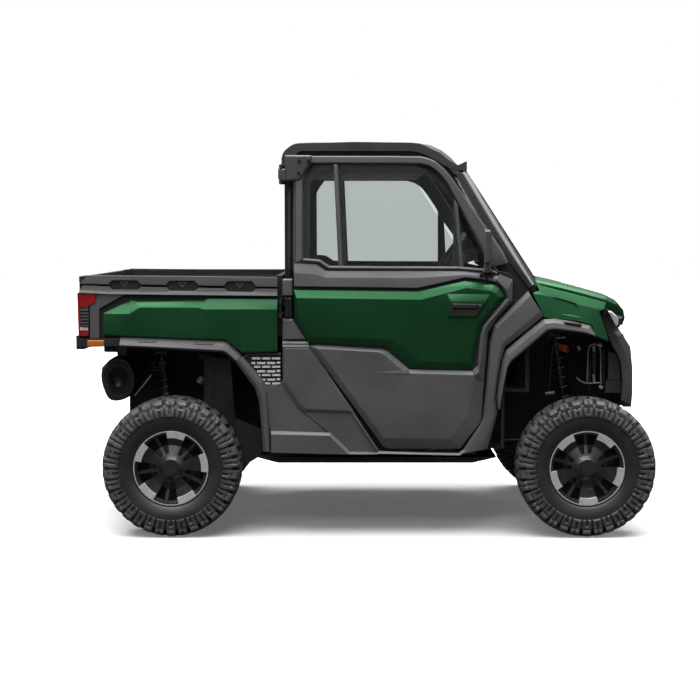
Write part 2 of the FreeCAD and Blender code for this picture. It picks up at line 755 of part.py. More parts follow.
def build_cage():
    low, high = (front_axle - 252, s.BeltZ - 52), (front_axle - 600, s.RoofZ - 145)
    run, rise = high[0] - low[0], high[1] - low[1]
    slope = math.hypot(float(run), float(rise))
    back = (-float(rise) / slope * 22.3, float(run) / slope * 22.3)
    shoulder_x = low[0] + back[0] + run * (float(cage_top_z - low[1] - back[1]) / float(rise))
    nose = (low[0] + back[0] - run * 0.07, -cage_base_y - 3, low[1] + back[1] - rise * 0.07)
    side = [
        (s.CageX, -cage_base_y, floor_z + 20), (s.CageX, -cage_base_y, s.BeltZ), (s.CageX, -cage_top_y, cage_top_z),
        (shoulder_x, -cage_top_y, cage_top_z), nose,
    ]
    parts = both_sides([tube(side, s.CageTube, (90, 90, 260))])
    for x, y, z in ((s.CageX, cage_top_y + 5, cage_top_z - 60), (s.CageX, cage_base_y, s.BeltZ - 18)):
        parts.append(bar((x, -y, z), (x, y, z), s.CageTube))
    parts.append(bar((nose[0], -cage_base_y, nose[2]), (nose[0], cage_base_y, nose[2]), 19))
    cage = keep(made("roll_cage", joined(parts)), "roll_cage")

    half, fx, top = cage_top_y + 60, front_axle, s.RoofZ
    roof = across_plate("roof_body", [
        (s.CageX - 42, top - 98, 10), (s.CageX - 33, top - 50, 60), (s.CageX + 20, top - 8, 70),
        (s.CageX + 320, top), (fx - 820, top - 4, 200), (fx - 640, top - 116, 20), (fx - 594, top - 94),
        (fx - 593, top - 140), (fx - 660, top - 140), (fx - 830, top - 45, 220),
        (s.CageX + 50, top - 45, 50), (s.CageX - 15, top - 98, 10),
    ], half)
    keep(cut(roof, cage, "roof"), "roof")

    screen = across_plate("windscreen_body", [
        low, (low[0] + 5, low[1] + 3.3), (high[0] + 5, high[1] + 3.3), high,
    ], cage_top_y + 45)
    keep(screen, "windscreen")
    pane = box("rear_window_pane", (s.CageX - s.CageTube - s.GlassThickness, -cage_top_y + 15, s.BeltZ - 18),
               (s.GlassThickness, cage_top_y * 2 - 30, cage_top_z - s.BeltZ - 42))
    keep(pane, "rear_window")


# Doors

def build_doors():
    face, thick, rise = door_y, s.DoorThickness, s.CladRise
    rear, fx = s.CageX + 28, front_axle
    belt, sill = s.BeltZ, sill_z
    edge = [
        (rear, belt + 32), (rear + 50, belt + 48), (rear + 115, belt + 44), (rear + 184, belt + 7),
        (fx - 528, belt - 2), (fx - 412, belt - 18), (fx - 373, belt - 45), (fx - 371, belt - 105),
        (fx - 377, belt - 191), (fx - 456, belt - 302), (fx - 478, belt - 375), (fx - 492, belt - 472),
        (fx - 526, sill + 166), (fx - 628, sill + 11), (rear + 435, sill + 11), (rear + 452, sill + 69),
        (rear + 73, belt - 375), (rear, belt - 234),
    ]
    body = new_body("door_right_body")
    pad(body, outline(new_sketch(body, "XZ_Plane", face, "door_edge"), edge), thick)
    clad = outline(new_sketch(body, "XZ_Plane", face + rise, "door_clad"), [
        (rear + 100, belt - 390), (rear + 440, belt - 392), (rear + 556, belt - 512), (fx - 556, belt - 512),
        (fx - 529, sill + 190), (fx - 650, sill + 66), (rear + 464, sill + 66),
    ])
    pad(body, clad, rise)
    upper = outline(new_sketch(body, "XZ_Plane", face + rise, "door_belt"), [
        (rear + 8, belt + 24), (rear + 50, belt + 40), (rear + 115, belt + 36), (rear + 180, belt - 2),
        (fx - 528, belt - 10), (fx - 416, belt - 26), (fx - 383, belt - 50), (fx - 465, belt - 70),
        (fx - 600, belt - 44), (fx - 818, belt - 90), (rear + 8, belt - 90),
    ])
    raised = pad(body, upper, rise)
    bevel(body, raised, on_face(face + rise), 10, 10)
    crease = outline(new_sketch(body, "XZ_Plane", face + rise, "door_crease"), [
        (rear + 386, sill + 197), (fx - 868, sill + 197), (fx - 773, sill + 82), (fx - 788, sill + 82),
        (fx - 877, sill + 180), (rear + 400, sill + 180),
    ])
    pocket(body, crease, 7)

    height = s.RoofZ - belt
    lean = math.degrees(math.atan2(float(cage_base_y - cage_top_y), float(cage_top_z - belt)))
    leaning = FreeCAD.Placement(V(0, 0, 0), FreeCAD.Rotation(V(1, 0, 0), -lean))
    frame = new_body("door_frame_right")
    out = outline(new_sketch(frame, "XZ_Plane", 0, "door_frame_outer"), [
        (rear, -20), (rear, height - 65, 40), (fx - 800, height - 65, 150), (fx - 440, 0), (fx - 440, -20),
    ])
    pad(frame, out, 30)
    hole = outline(new_sketch(frame, "XZ_Plane", 0, "door_frame_inner"), [
        (rear + 44, 0), (rear + 44, height - 177), (rear + 100, height - 109), (fx - 815, height - 109, 120),
        (fx - 485, 4), (fx - 500, 0),
    ])
    pocket(frame, hole, 60)
    bars = new_body("door_bars_right")
    rows = (("rear_bar", rear + 228, rear + 200, height - 97), ("front_bar", fx - 627, fx - 652, height - 292))
    for name, foot, head, top in rows:
        strip = outline(new_sketch(bars, "XZ_Plane", -6, name), [
            (foot - 12, -10), (foot + 12, -10), (head + 12, top), (head - 12, top),
        ])
        pad(bars, strip, 18)
    pane_body = new_body("door_glass_right_body")
    pane = outline(new_sketch(pane_body, "XZ_Plane", -12, "door_glass_edge"), [
        (rear + 44.2, 4), (rear + 44.2, height - 177), (rear + 100, height - 109.2),
        (fx - 815.2, height - 109.2, 120), (fx - 487, 5),
    ])
    pad(pane_body, pane, s.GlassThickness)
    for leaning_body in (frame, bars, pane_body):
        leaning_body.Placement = leaning
        bind(leaning_body, "Placement.Base.y", -face + 2)
        bind(leaning_body, "Placement.Base.z", belt)

    low = V(float(hinge_x), -float(hinge_low_y), float(hinge_low_z))
    high = V(float(hinge_x), -float(hinge_high_y), float(hinge_high_z))
    pin = (high - low).normalize()
    leaves, brackets, bores = [], [], []
    for centre, inner in ((low, -float(face) + 1), (high, -float(hinge_high_y) + 12)):
        leaves.append(Part.makeCylinder(9, 44, centre - pin * 22, pin))
        bores.append(Part.makeCylinder(4.3, 60, centre - pin * 30, pin))
        leaves.append(block((centre.x, centre.y - 4, centre.z - 20), (centre.x + 110, centre.y + 5, centre.z + 20)))
        foot = (centre.x + 150, inner + 8, centre.z + 20)
        leaves.append(block((centre.x + 72, centre.y - 4, centre.z - 20), foot))
        for step in (-48, 24):
            brackets.append(Part.makeCylinder(9, 24, centre + pin * step, pin))
        brackets.append(Part.makeCylinder(4, 90, centre - pin * 45, pin))
        lean_in = max(0.0, centre.z - float(belt)) * math.tan(math.radians(lean))
        post_y = -float(cage_base_y) + lean_in
        for low_z in (centre.z - 46, centre.z + 26):
            brackets.append(block((centre.x - 7, centre.y, low_z), (centre.x + 7, post_y + 10, low_z + 20)))
            brackets.append(block((centre.x - 7, post_y - 20, low_z), (float(s.CageX), post_y + 10, low_z + 20)))
    corners = [(57, 90), (194, 90), (194, 61), (140, -33), (57, -33)]
    plate = [V(high.x + x, high.y - 4, high.z + z) for x, z in corners]
    leaves.append(Part.Face(Part.makePolygon(plate + plate[:1])).extrude(V(0, 9, 0)))
    hinge = made("door_hinge_leaves", joined(leaves[:3]).fuse(joined(leaves[3:])).cut(bores))
    door = keep(fused([body, frame, bars, hinge], "door_right"), "door_right")
    keep(mirrored(door, "door_left"), "door_left")
    fixed = made("door_hinges_right", Part.makeCompound([joined(brackets[:7]), joined(brackets[7:])]))
    pair(cut(fixed, kept("roll_cage"), "door_hinges_seated"), "door_hinges")

    proud = face + rise + 6
    skin_body = new_body("door_skin_right_body")
    skin = outline(new_sketch(skin_body, "XZ_Plane", proud, "door_skin_edge"), [
        (rear, belt - 100), (rear, belt - 234), (rear + 73, belt - 375), (rear + 434, belt - 382),
        (rear + 550, belt - 502), (fx - 562, belt - 502), (fx - 533, belt - 304), (fx - 415, belt - 137),
        (fx - 451, belt - 80), (fx - 600, belt - 54), (fx - 820, belt - 100),
    ])
    plate = pad(skin_body, skin, rise + 6)
    bevel(skin_body, plate, on_face(proud), 16, 14)
    handle = outline(new_sketch(skin_body, "XZ_Plane", proud, "handle_recess"), [
        (fx - 690, belt - 134, 6), (fx - 690, belt - 214, 6), (fx - 538, belt - 214, 6), (fx - 500, belt - 134, 6),
    ])
    pocket(skin_body, handle, 15)
    skin_clear = cut(skin_body, door, "door_skin_right")
    keep(skin_clear, "door_skin_right")
    keep(mirrored(skin_clear, "door_skin_left"), "door_skin_left")

    clear = cut(pane_body, door, "door_glass_right")
    keep(clear, "door_glass_right")
    keep(mirrored(clear, "door_glass_left"), "door_glass_left")

    stalk = box("mirror_stalk", (fx - 505, -face - 100, belt - 6), (26, 100, 30))
    post = box("mirror_post", (fx - 505, -face - 95, belt + 10), (20, 24, 40))
    head = new_body("mirror_head")
    shell = outline(new_sketch(head, "YZ_Plane", fx - 518, "mirror_face"), [
        (-face - 190, belt + 30, 36), (-face - 24, belt + 36, 22), (-face - 16, belt + 198, 22),
        (-face - 190, belt + 205, 36),
    ])
    hull = pad(head, shell, 43, inward=False)
    bevel(head, hull, lambda e: all(v.X > float(fx) - 476 for v in e.Vertexes), 13)
    mirror = cut(fused([stalk, head, post], "mirror_right_whole"), door, "mirror_right")
    keep(mirror, "mirror_right")
    keep(mirrored(mirror, "mirror_left"), "mirror_left")


# Body panels

def build_panels():
    fx, belt, rear, sill = front_axle, s.BeltZ, s.CageX, sill_z
    side_face = door_y + 14
    side = side_plate("side_panel_body", [
        (rear - 32, belt - 244), (rear + 20, belt - 244), (rear + 94, belt - 380.7), (rear + 473, sill + 63.3),
        (rear + 456, sill), (fx - 628, sill), (fx - 576, sill + 60), (fx - 525.4, sill - 62),
        (rear - 50, sill - 52), (rear - 91.7, sill), (rear - 91.7, sill + 60), (rear - 122.7, belt - 582),
        (rear - 125.4, belt - 578.3), (rear - 32, belt - 578.3),
    ], side_face, 30)
    step = outline(new_sketch(side, "XZ_Plane", side_face + 10, "sill_step"), [
        (rear - 88, sill + 107), (rear + 216, sill + 107), (rear + 298, sill + 5), (rear - 88, sill + 5),
    ])
    bevel(side, pad(side, step, 10), on_face(side_face + 10), 8)
    groove = outline(new_sketch(side, "XZ_Plane", side_face, "side_crease"), [
        (rear - 50, belt - 584), (rear + 56, belt - 696), (rear + 90, belt - 712), (rear + 332, belt - 716),
        (rear + 346, belt - 734), (rear + 84, belt - 732), (rear + 40, belt - 710), (rear - 68, belt - 590),
    ])
    pocket(side, groove, 8)
    shelf = outline(new_sketch(side, "XZ_Plane", side_face, "shoulder_groove"), [
        (rear - 28, belt - 378), (rear + 84, belt - 378), (rear + 87, belt - 384), (rear - 28, belt - 384),
    ])
    pocket(side, shelf, 6)
    pair(side, "side_panels")

    vent = side_plate("vent_body", [
        (rear - 223.7, belt - 433), (rear - 32.3, belt - 433), (rear - 32.3, belt - 578),
        (rear - 125.4, belt - 578),
    ], door_y - 8, 14)
    for name, start, top in (("vent_rows_even", 40, 441), ("vent_rows_odd", 62, 459)):
        slots = new_sketch(vent, "XZ_Plane", door_y - 8, name)
        for step_x in (0, 46, 92, 138):
            left, right, upper = rear - start - step_x - 32, rear - start - step_x, belt - top
            outline(slots, [(left, upper), (right, upper), (right, upper - 9), (left, upper - 9)])
        row = pocket(vent, slots, 9)
        rows = vent.newObject("PartDesign::LinearPattern", name + "_pattern")
        rows.Originals = [row]
        rows.Direction = (slots, ["V_Axis"])
        rows.Reversed = True
        rows.Length = 108
        rows.Occurrences = 4
        vent.Tip = rows
    pair(vent, "side_vents")

    rear_flare = side_plate("rear_flare_body", [
        (rear - 316, belt - 352), (rear - 224, belt - 433), (rear - 123, belt - 582), (rear - 92, sill + 60),
        (rear - 92, sill), (rear - 134, sill), (rear - 154, sill + 175), (rear - 179, belt - 604),
        (rear - 281, belt - 460), (rear - 326, belt - 424),
    ], door_y + 30, 40)
    bevel(rear_flare, rear_flare.Tip, on_face(door_y + 30), 11, 11)
    pair(rear_flare, "rear_flares")

    cowl = side_plate("cowl_body", [
        (fx - 284, belt - 123), (fx - 440, belt - 290), (fx - 466, belt - 382), (fx - 486, sill + 215),
        (fx - 575.7, sill + 60), (fx - 525, sill - 62), (fx - 453, sill + 121), (fx - 437.3, sill + 250),
        (fx - 402.3, belt - 414.7), (fx - 281.3, belt - 282.7), (fx - 217.3, belt - 240.7), (fx - 225, belt - 175),
    ], door_y + 18, 40)
    bevel(cowl, cowl.Tip, on_face(door_y + 18), 12, 9)
    pair(cowl, "cowl_panels")

    flare_face = door_y + 46
    flare = side_plate("front_flare_body", [
        (fx - 217, belt - 241), (fx - 281, belt - 283), (fx - 402, belt - 415), (fx - 437, sill + 250),
        (fx - 424, sill + 250), (fx - 389, belt - 465), (fx - 221, belt - 321), (fx - 162, belt - 300),
        (fx + 49, belt - 330), (fx + 43, belt - 285), (fx + 13, belt - 276), (fx - 107, belt - 246),
    ], flare_face, 100)
    bevel(flare, flare.Tip, on_face(flare_face), 5)
    lens = outline(new_sketch(flare, "XZ_Plane", flare_face, "reflector_slot"), [
        (fx - 122, belt - 262), (fx - 26, belt - 276), (fx - 38, belt - 288), (fx - 112, belt - 280),
    ])
    pocket(flare, lens, 6)
    pair(flare, "front_flares")

    liner = side_plate("liner_body", [
        (fx - 423.7, sill + 20), (fx - 423.7, sill + 250), (fx - 388.6, belt - 465.3), (fx - 220.7, belt - 321.5),
        (fx - 162, belt - 300.6), (fx + 40, belt - 329.5), (fx + 40, belt - 336), (fx - 161, belt - 307),
        (fx - 224, belt - 329), (fx - 394, belt - 471), (fx - 417, sill + 246), (fx - 417, sill + 20),
    ], door_y + 14, 74)
    seated = cut(cut(liner, kept("cowl_panels"), "liner_clear"), kept("front_flares"), "liner_seated")
    pair(seated, "arch_liners")

    depth = door_y + 6 - hood_half
    fender = side_plate("front_fender_body", [
        (fx - 282, belt - 119), (fx - 250, belt - 75), (fx + 103, belt - 180), (fx + 140, belt - 215),
        (fx + 60, belt - 200), (fx + 112, belt - 336), (fx + 52, belt - 326), (fx + 43.3, belt - 284.7),
        (fx + 13.3, belt - 275.7), (fx - 107, belt - 245.7), (fx - 216.7, belt - 240.7), (fx - 224.7, belt - 174),
    ], door_y + 6, 26)
    bevel(fender, fender.Tip, lambda e: all(abs(v.Y + float(door_y + 6)) < 0.01 and v.Z > float(belt) - 182
                                            for v in e.Vertexes), 14, 12)
    lid = outline(new_sketch(fender, "XZ_Plane", door_y - 10, "fender_top"), [
        (fx - 267, belt - 98), (fx - 250, belt - 76), (fx + 103, belt - 181), (fx + 138, belt - 215),
        (fx + 110, belt - 210), (fx + 96, belt - 197), (fx - 246, belt - 96),
    ])
    pad(fender, lid, depth - 16)
    fender_clear = cut(fender, kept("roll_cage"), "front_fender_clear")
    fenders = pair(fender_clear, "front_fenders")

    half = hood_half - 6
    hood = across_plate("hood_body", [
        (fx - 222, belt - 47), (fx - 180, belt - 52), (fx + 151, belt - 140), (fx + 224, belt - 180),
        (fx + 256, belt - 250), (fx + 241, belt - 300), (fx + 226, belt - 300), (fx + 238, belt - 252),
        (fx + 208, belt - 196), (fx + 146, belt - 158), (fx - 184, belt - 72), (fx - 222, belt - 67),
    ], half)
    skin_line = [(float(fx + x), float(belt - drop)) for x, drop in ((-180, 52), (151, 140), (224, 180))]
    bevel(hood, hood.Tip, lambda e: all(
        any(abs(v.X - x) < 0.01 and abs(v.Z - z) < 0.01 for x, z in skin_line) for v in e.Vertexes
    ) and e.BoundBox.YLength < 1, 9)
    pivot_x, pivot_z = fx - 215, belt - 60
    hinge_y = hood_half - 120
    slots = made("hood_hinge_slots", Part.makeCompound(both_sides([
        block((pivot_x - 30, -hinge_y - 10, pivot_z - 30), (pivot_x + 14, -hinge_y + 10, pivot_z + 30)),
        bar((pivot_x, -hinge_y - 35, pivot_z), (pivot_x, -hinge_y + 35, pivot_z), 5.4),
    ])))
    keep(cut(hood, slots, "hood"), "hood")
    hinges = joined([
        block((pivot_x - 40, -hinge_y - 6, belt - 110), (pivot_x, -hinge_y + 6, pivot_z)),
        bar((pivot_x, -hinge_y - 6, pivot_z), (pivot_x, -hinge_y + 6, pivot_z), 8),
        bar((pivot_x, -hinge_y - 30, pivot_z), (pivot_x, -hinge_y + 30, pivot_z), 5),
    ])
    mounts = made("hood_hinges_whole", Part.makeCompound(both_sides([hinges])))
    keep(cut(mounts, kept("roll_cage"), "hood_hinges"), "hood_hinges")

    post_y = hood_half + 50
    fascia = across_plate("fascia_body", [
        (fx + 62, belt - 212), (fx + 132, belt - 224), (fx + 180, belt - 312), (fx + 236, belt - 400),
        (fx + 246, belt - 503), (fx + 250, belt - 640), (fx + 222, belt - 640), (fx + 213, belt - 449),
        (fx + 157, belt - 353), (fx + 112, belt - 337),
    ], post_y)
    slits = [
        block((fx + 150, middle - 190, belt - row - 22), (fx + 300, middle + 190, belt - row))
        for middle in (-post_y * 0.5, post_y * 0.5) for row in (415, 455, 495, 535)
    ]
    grille = cut(fascia, made("grille_slits", Part.makeCompound(slits)), "fascia_slit")
    feet = made("fascia_feet", Part.makeCompound(both_sides([
        block((front_axle + 195, -150, front_shock_z - 243), (front_axle + 224, -90, front_shock_z - 207)),
    ])))
    seated = cut(fused([grille, feet], "fascia_on_feet"), kept("frame_uprights"), "fascia_on_frame")
    keep(cut(seated, fenders, "fascia"), "fascia")

    outer = [
        (fx + 62, belt - 205), (fx + 142, belt - 218), (fx + 190, belt - 308), (fx + 249, belt - 398),
        (fx + 260, belt - 503), (nose_x, belt - 640), (nose_x - 6, belt - 705), (fx + 218, belt - 705),
        (fx + 222, belt - 633), (fx + 213, belt - 449), (fx + 157, belt - 353), (fx + 112, belt - 337),
    ]
    post = side_plate("bumper_post", outer, post_y + 90, 89.7)
    bevel(post, post.Tip, on_face(post_y + 90), 12, 12)
    beam = across_plate("bumper_beam", [
        (fx + 222, belt - 641), (nose_x, belt - 641), (nose_x - 6, belt - 705), (fx + 218, belt - 705),
    ], post_y + 1)
    whole = fused([post, mirrored(post, "bumper_post_twin"), beam], "front_bumper_whole")
    bumper = keep(cut(whole, fenders, "front_bumper"), "front_bumper")

    lamps = side_plate("headlamp_body", [
        (fx + 144.6, belt - 222), (fx + 182, belt - 222), (fx + 228, belt - 300), (fx + 190.4, belt - 308),
    ], door_y - 102, 150)
    bevel(lamps, lamps.Tip, on_face(door_y - 102), 14, 10)
    pair(cut(lamps, bumper, "headlamp_clear"), "headlamps")


# Cargo bed

def build_bed():
    face, wall, floor = bed_y, s.BedWall, s.BedFloorZ
    front, rear, top = bed_front_x, s.BedRearX, s.BedRailZ
    low = floor - s.BedFloorThickness
    tub = [
        block((rear, -face + wall, low), (front, face - wall, floor)),
        block((front - wall, -face + wall, low), (front, face - wall, top - 10)),
    ]
    tub += both_sides([
        block((rear, -face, low), (front, -face + wall + 10, top - 30)),
        block((bed_pivot_x - 16, -rail_y + 30, bed_pivot_z - 18), (bed_pivot_x + 20, -rail_y + 67, low + 2)),
        block((rear + 60, -rail_y - 77, low - 34), (front - 60, -rail_y - 27, low + 2)),
    ])
    bore = bar((bed_pivot_x, -face, bed_pivot_z), (bed_pivot_x, face, bed_pivot_z), 9)
    grooves = both_sides([
        block((rear + 40, -y, floor - 7), (front - wall - 40, -y + 34, floor + 1))
        for y in (face * 0.8, face * 0.62, face * 0.44, face * 0.26)
    ])
    keep(made("bed_tub", joined(tub).cut([bore] + grooves)), "bed_tub")

    rx = s.RearAxleX
    skin = side_plate("bed_side_body", [
        (rx - 340, floor + 123), (rx - 338, floor + 25), (rx + 271, floor - 2), (rx + 368, floor - 74),
        (front, floor - 63), (front, floor + 198), (rx + 185, floor + 202), (rx + 140, floor + 193),
        (rx - 200, floor + 193),
    ], face + 15, 15)
    bevel(skin, skin.Tip, on_face(face + 15), 12)
    pair(skin, "bed_sides")

    rail_face = face + 25
    rail = side_plate("bed_rail_body", [
        (rx - 449, top - 29), (rx - 427, top + 3), (front, top - 5), (front, top - 103),
        (rx - 195, top - 89), (rx - 350, top - 170), (rx - 352, floor + 30), (rx - 243, floor + 16),
        (rx + 262, floor - 6), (rx + 246, floor - 70), (rx - 268, floor - 32),
        (rx - 268, floor + 16), (rx - 403, floor + 16), (rx - 403, floor + 163), (rx - 366, floor + 183),
        (rx - 366, floor + 227), (rx - 455, floor + 228),
    ], rail_face, 25)
    seam = outline(new_sketch(rail, "XZ_Plane", rail_face, "rail_seam"), [
        (rx - 440, top - 36), (front - 4, top - 46), (front - 4, top - 51), (rx - 440, top - 42),
    ])
    pocket(rail, seam, 6)
    for number, left in enumerate((301, 17, -269)):
        recess = new_sketch(rail, "XZ_Plane", rail_face, f"rail_recess_{number}")
        start = rx - left
        outline(recess, [
            (start, top - 48), (start + 22, top - 74), (start + 134, top - 74), (start + 155, top - 48),
            (start + 134, top - 22), (start + 22, top - 22),
        ])
        pocket(rail, recess, 14)
    lift = cut(rail, skin, "bed_rail_clear")
    pair(lift, "bed_trim")

    gate_half = face - 110
    lamp = side_plate("tail_lamp_body", [
        (rx - 456, floor + 226.7), (rx - 366.3, floor + 226.7), (rx - 366.3, floor + 183.3),
        (rx - 403.3, floor + 163.3), (rx - 403.3, floor + 16.3), (rx - 452, floor + 16.3),
    ], face + 22, 124)
    slats = new_sketch(lamp, "XZ_Plane", face + 22, "lamp_slats")
    for step in range(3):
        z = floor + 100 + step * 26
        outline(slats, [(rx - 446, z), (rx - 412, z), (rx - 412, z + 9), (rx - 446, z + 9)])
    pocket(lamp, slats, 5)
    inside = box("bed_inside", (rear, -face, low), (front - rear, face * 2, top - low))
    pair(cut(lamp, inside, "tail_lamp_clear"), "tail_lamps")

    hinge_x, hinge_z = tail_x + 7, floor + 19
    sill = block((tail_x, -face, low - 27), (rear, face, low + 39.5))
    gate = block((tail_x + 10, -gate_half, floor + 22), (tail_x + s.GateThickness, gate_half, top - 4))
    gate = gate.cut([
        block((tail_x + 9, -gate_half + 70, floor + 60), (tail_x + 18, gate_half - 70, top - 110)),
        block((tail_x + 9, -70, top - 74), (tail_x + 30, 70, top - 36)),
    ])
    gate = gate.cut([
        block((tail_x + s.GateThickness - 8, side * gate_half * 0.5 - 200, floor + 60),
              (tail_x + s.GateThickness + 1, side * gate_half * 0.5 + 200, top - 60)) for side in (-1, 1)
    ])
    for y in (-gate_half + 60, gate_half - 140):
        room = block((tail_x - 1, y - 1, hinge_z - 9), (tail_x + 20, y + 81, hinge_z + 3))
        sill = sill.cut(room)
        gate = gate.fuse([
            bar((hinge_x, y, hinge_z), (hinge_x, y + 80, hinge_z), 7),
            block((hinge_x, y, hinge_z), (hinge_x + 7, y + 80, hinge_z + 7)),
        ]).cut(bar((hinge_x, y - 1, hinge_z), (hinge_x, y + 81, hinge_z), 3.8))
        for post in (y - 41, y + 81):
            gate = gate.cut(block((tail_x - 1, post - 1, floor), (tail_x + 41, post + 41, hinge_z + 9)))
            sill = sill.fuse([
                bar((hinge_x, post, hinge_z), (hinge_x, post + 40, hinge_z), 7),
                block((hinge_x - 7, post, hinge_z - 6), (hinge_x + 7, post + 40, hinge_z)),
            ])
        sill = sill.fuse(bar((hinge_x, y - 20, hinge_z), (hinge_x, y + 100, hinge_z), 3.5))
    keep(made("bed_sill", sill.removeSplitter()), "bed_sill")
    keep(made("tailgate", gate.removeSplitter()), "tailgate")


build_wheels()
build_suspension()
build_frame()
build_cab()
build_cage()
build_doors()
build_panels()
build_bed()
doc.recompute()

for thing in doc.Objects:
    if {"Invalid", "Error"} & set(thing.State):
        raise RuntimeError(f"{thing.Name} ({thing.Label}) failed: {thing.State}")
for thing in pieces:
    if thing.Shape.isNull() or not thing.Shape.isValid() or not thing.Shape.Solids:
        raise RuntimeError(f"{thing.Label} has no valid solid")

os.makedirs("parts", exist_ok=True)
for thing in pieces:
    thing.Shape.exportStep(f"parts/{thing.Label}.step")
print(len(pieces), "sub-parts written")
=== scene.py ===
import json
import math

import bmesh
import bpy
import numpy as np
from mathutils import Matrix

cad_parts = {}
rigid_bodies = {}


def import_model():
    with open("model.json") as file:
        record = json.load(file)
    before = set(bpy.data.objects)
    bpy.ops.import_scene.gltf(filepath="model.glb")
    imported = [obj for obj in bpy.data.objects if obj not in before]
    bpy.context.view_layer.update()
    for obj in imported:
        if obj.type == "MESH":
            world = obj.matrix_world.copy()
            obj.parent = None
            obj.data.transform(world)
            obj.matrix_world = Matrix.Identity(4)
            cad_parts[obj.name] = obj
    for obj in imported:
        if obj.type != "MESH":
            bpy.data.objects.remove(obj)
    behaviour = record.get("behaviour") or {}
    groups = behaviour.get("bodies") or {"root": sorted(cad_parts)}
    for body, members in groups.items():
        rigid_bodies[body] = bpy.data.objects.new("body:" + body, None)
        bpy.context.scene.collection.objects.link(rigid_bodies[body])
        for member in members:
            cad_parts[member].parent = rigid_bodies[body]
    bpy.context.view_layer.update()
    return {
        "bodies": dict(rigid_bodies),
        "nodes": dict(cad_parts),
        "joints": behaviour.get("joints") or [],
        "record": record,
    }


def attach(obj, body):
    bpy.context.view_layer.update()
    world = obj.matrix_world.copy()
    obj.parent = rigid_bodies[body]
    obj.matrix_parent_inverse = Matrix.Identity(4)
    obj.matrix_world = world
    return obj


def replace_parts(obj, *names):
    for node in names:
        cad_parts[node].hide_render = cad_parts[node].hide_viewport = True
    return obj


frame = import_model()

nodes = frame["nodes"]
scene = bpy.context.scene
scene.view_settings.view_transform = "Standard"


# camera, floor and lamps

studio = {
    "cameraPlace": (-0.058, -8.142, 1.497),
    "tiltDown": 4.38,
    "lens": 77.2,
    "shift": -0.007,
    "fill": 0.13,
    "overhead": 4.9,
    "horizonGloss": 0.06,
    "skyGloss": 1.35,
    "floorReach": 40.0,
    "floorLevel": 0.93,
    "floorDiffuseDim": 0.82,
    "floorGlossDim": 0.87,
    "overheadPlace": (-0.2, -0.35, 6),
    "overheadAngle": 64,
    "frontPower": 60,
    "frontPlace": (-2.0, -5.5, 4.6),
    "frontSize": (4.5, 1.6),
}


def makeCamera():
    data = bpy.data.cameras.new("studioCamera")
    data.sensor_width = 36
    data.lens = studio["lens"]
    data.shift_x = studio["shift"]
    camera = bpy.data.objects.new("studioCamera", data)
    camera.location = studio["cameraPlace"]
    camera.rotation_euler = (math.radians(90 - studio["tiltDown"]), 0, 0)
    scene.collection.objects.link(camera)
    scene.camera = camera


def place(tree, kind, settings=None, **values):
    # one node, with its settings, and the values of its inputs by name
    node = tree.nodes.new(kind)
    for key, value in (settings or {}).items():
        setattr(node, key, value)
    for key, value in values.items():
        node.inputs[key.replace("_", " ")].default_value = value
    return node


def sums(tree, operation, a, b, c=None):
    # a Math node; each of a, b and c is a number or a socket
    node = tree.nodes.new("ShaderNodeMath")
    node.operation = operation
    for socket, value in zip(node.inputs, (a, b, c)):
        if value is None:
            continue
        if isinstance(value, (int, float)):
            socket.default_value = value
        else:
            tree.links.new(value, socket)
    return node.outputs[0]


def seenRays(tree):
    # two values: 1 for rays from the camera or through glass, and 1 for rays off a gloss
    path = tree.nodes.new("ShaderNodeLightPath").outputs
    return sums(tree, "MAXIMUM", path["Is Camera Ray"], path["Is Transmission Ray"]), path["Is Glossy Ray"]


def makeWorld():
    # white where it is seen, and a dim fill on what it lights
    # where it is mirrored, bright overhead and dark at the horizon
    world = bpy.data.worlds.new("studioWorld")
    scene.world = world
    world.use_nodes = True
    tree = world.node_tree
    tree.nodes.clear()
    seen, glossy = seenRays(tree)
    direction = tree.nodes.new("ShaderNodeTexCoord").outputs["Generated"]
    height = place(tree, "ShaderNodeSeparateXYZ")
    tree.links.new(direction, height.inputs[0])
    ramp = place(tree, "ShaderNodeMapRange", {"interpolation_type": "SMOOTHSTEP"},
                 From_Min=0.22, From_Max=0.62, To_Min=studio["horizonGloss"], To_Max=studio["skyGloss"])
    tree.links.new(height.outputs["Z"], ramp.inputs["Value"])
    mirrored = sums(tree, "MULTIPLY", glossy, ramp.outputs[0])
    dull = sums(tree, "MULTIPLY", sums(tree, "SUBTRACT", 1.0, glossy), studio["fill"])
    other = sums(tree, "MULTIPLY", sums(tree, "SUBTRACT", 1.0, seen), sums(tree, "ADD", mirrored, dull))
    background = place(tree, "ShaderNodeBackground", Color=(1, 1, 1, 1))
    tree.links.new(sums(tree, "ADD", seen, other), background.inputs["Strength"])
    output = tree.nodes.new("ShaderNodeOutputWorld")
    tree.links.new(background.outputs[0], output.inputs[0])


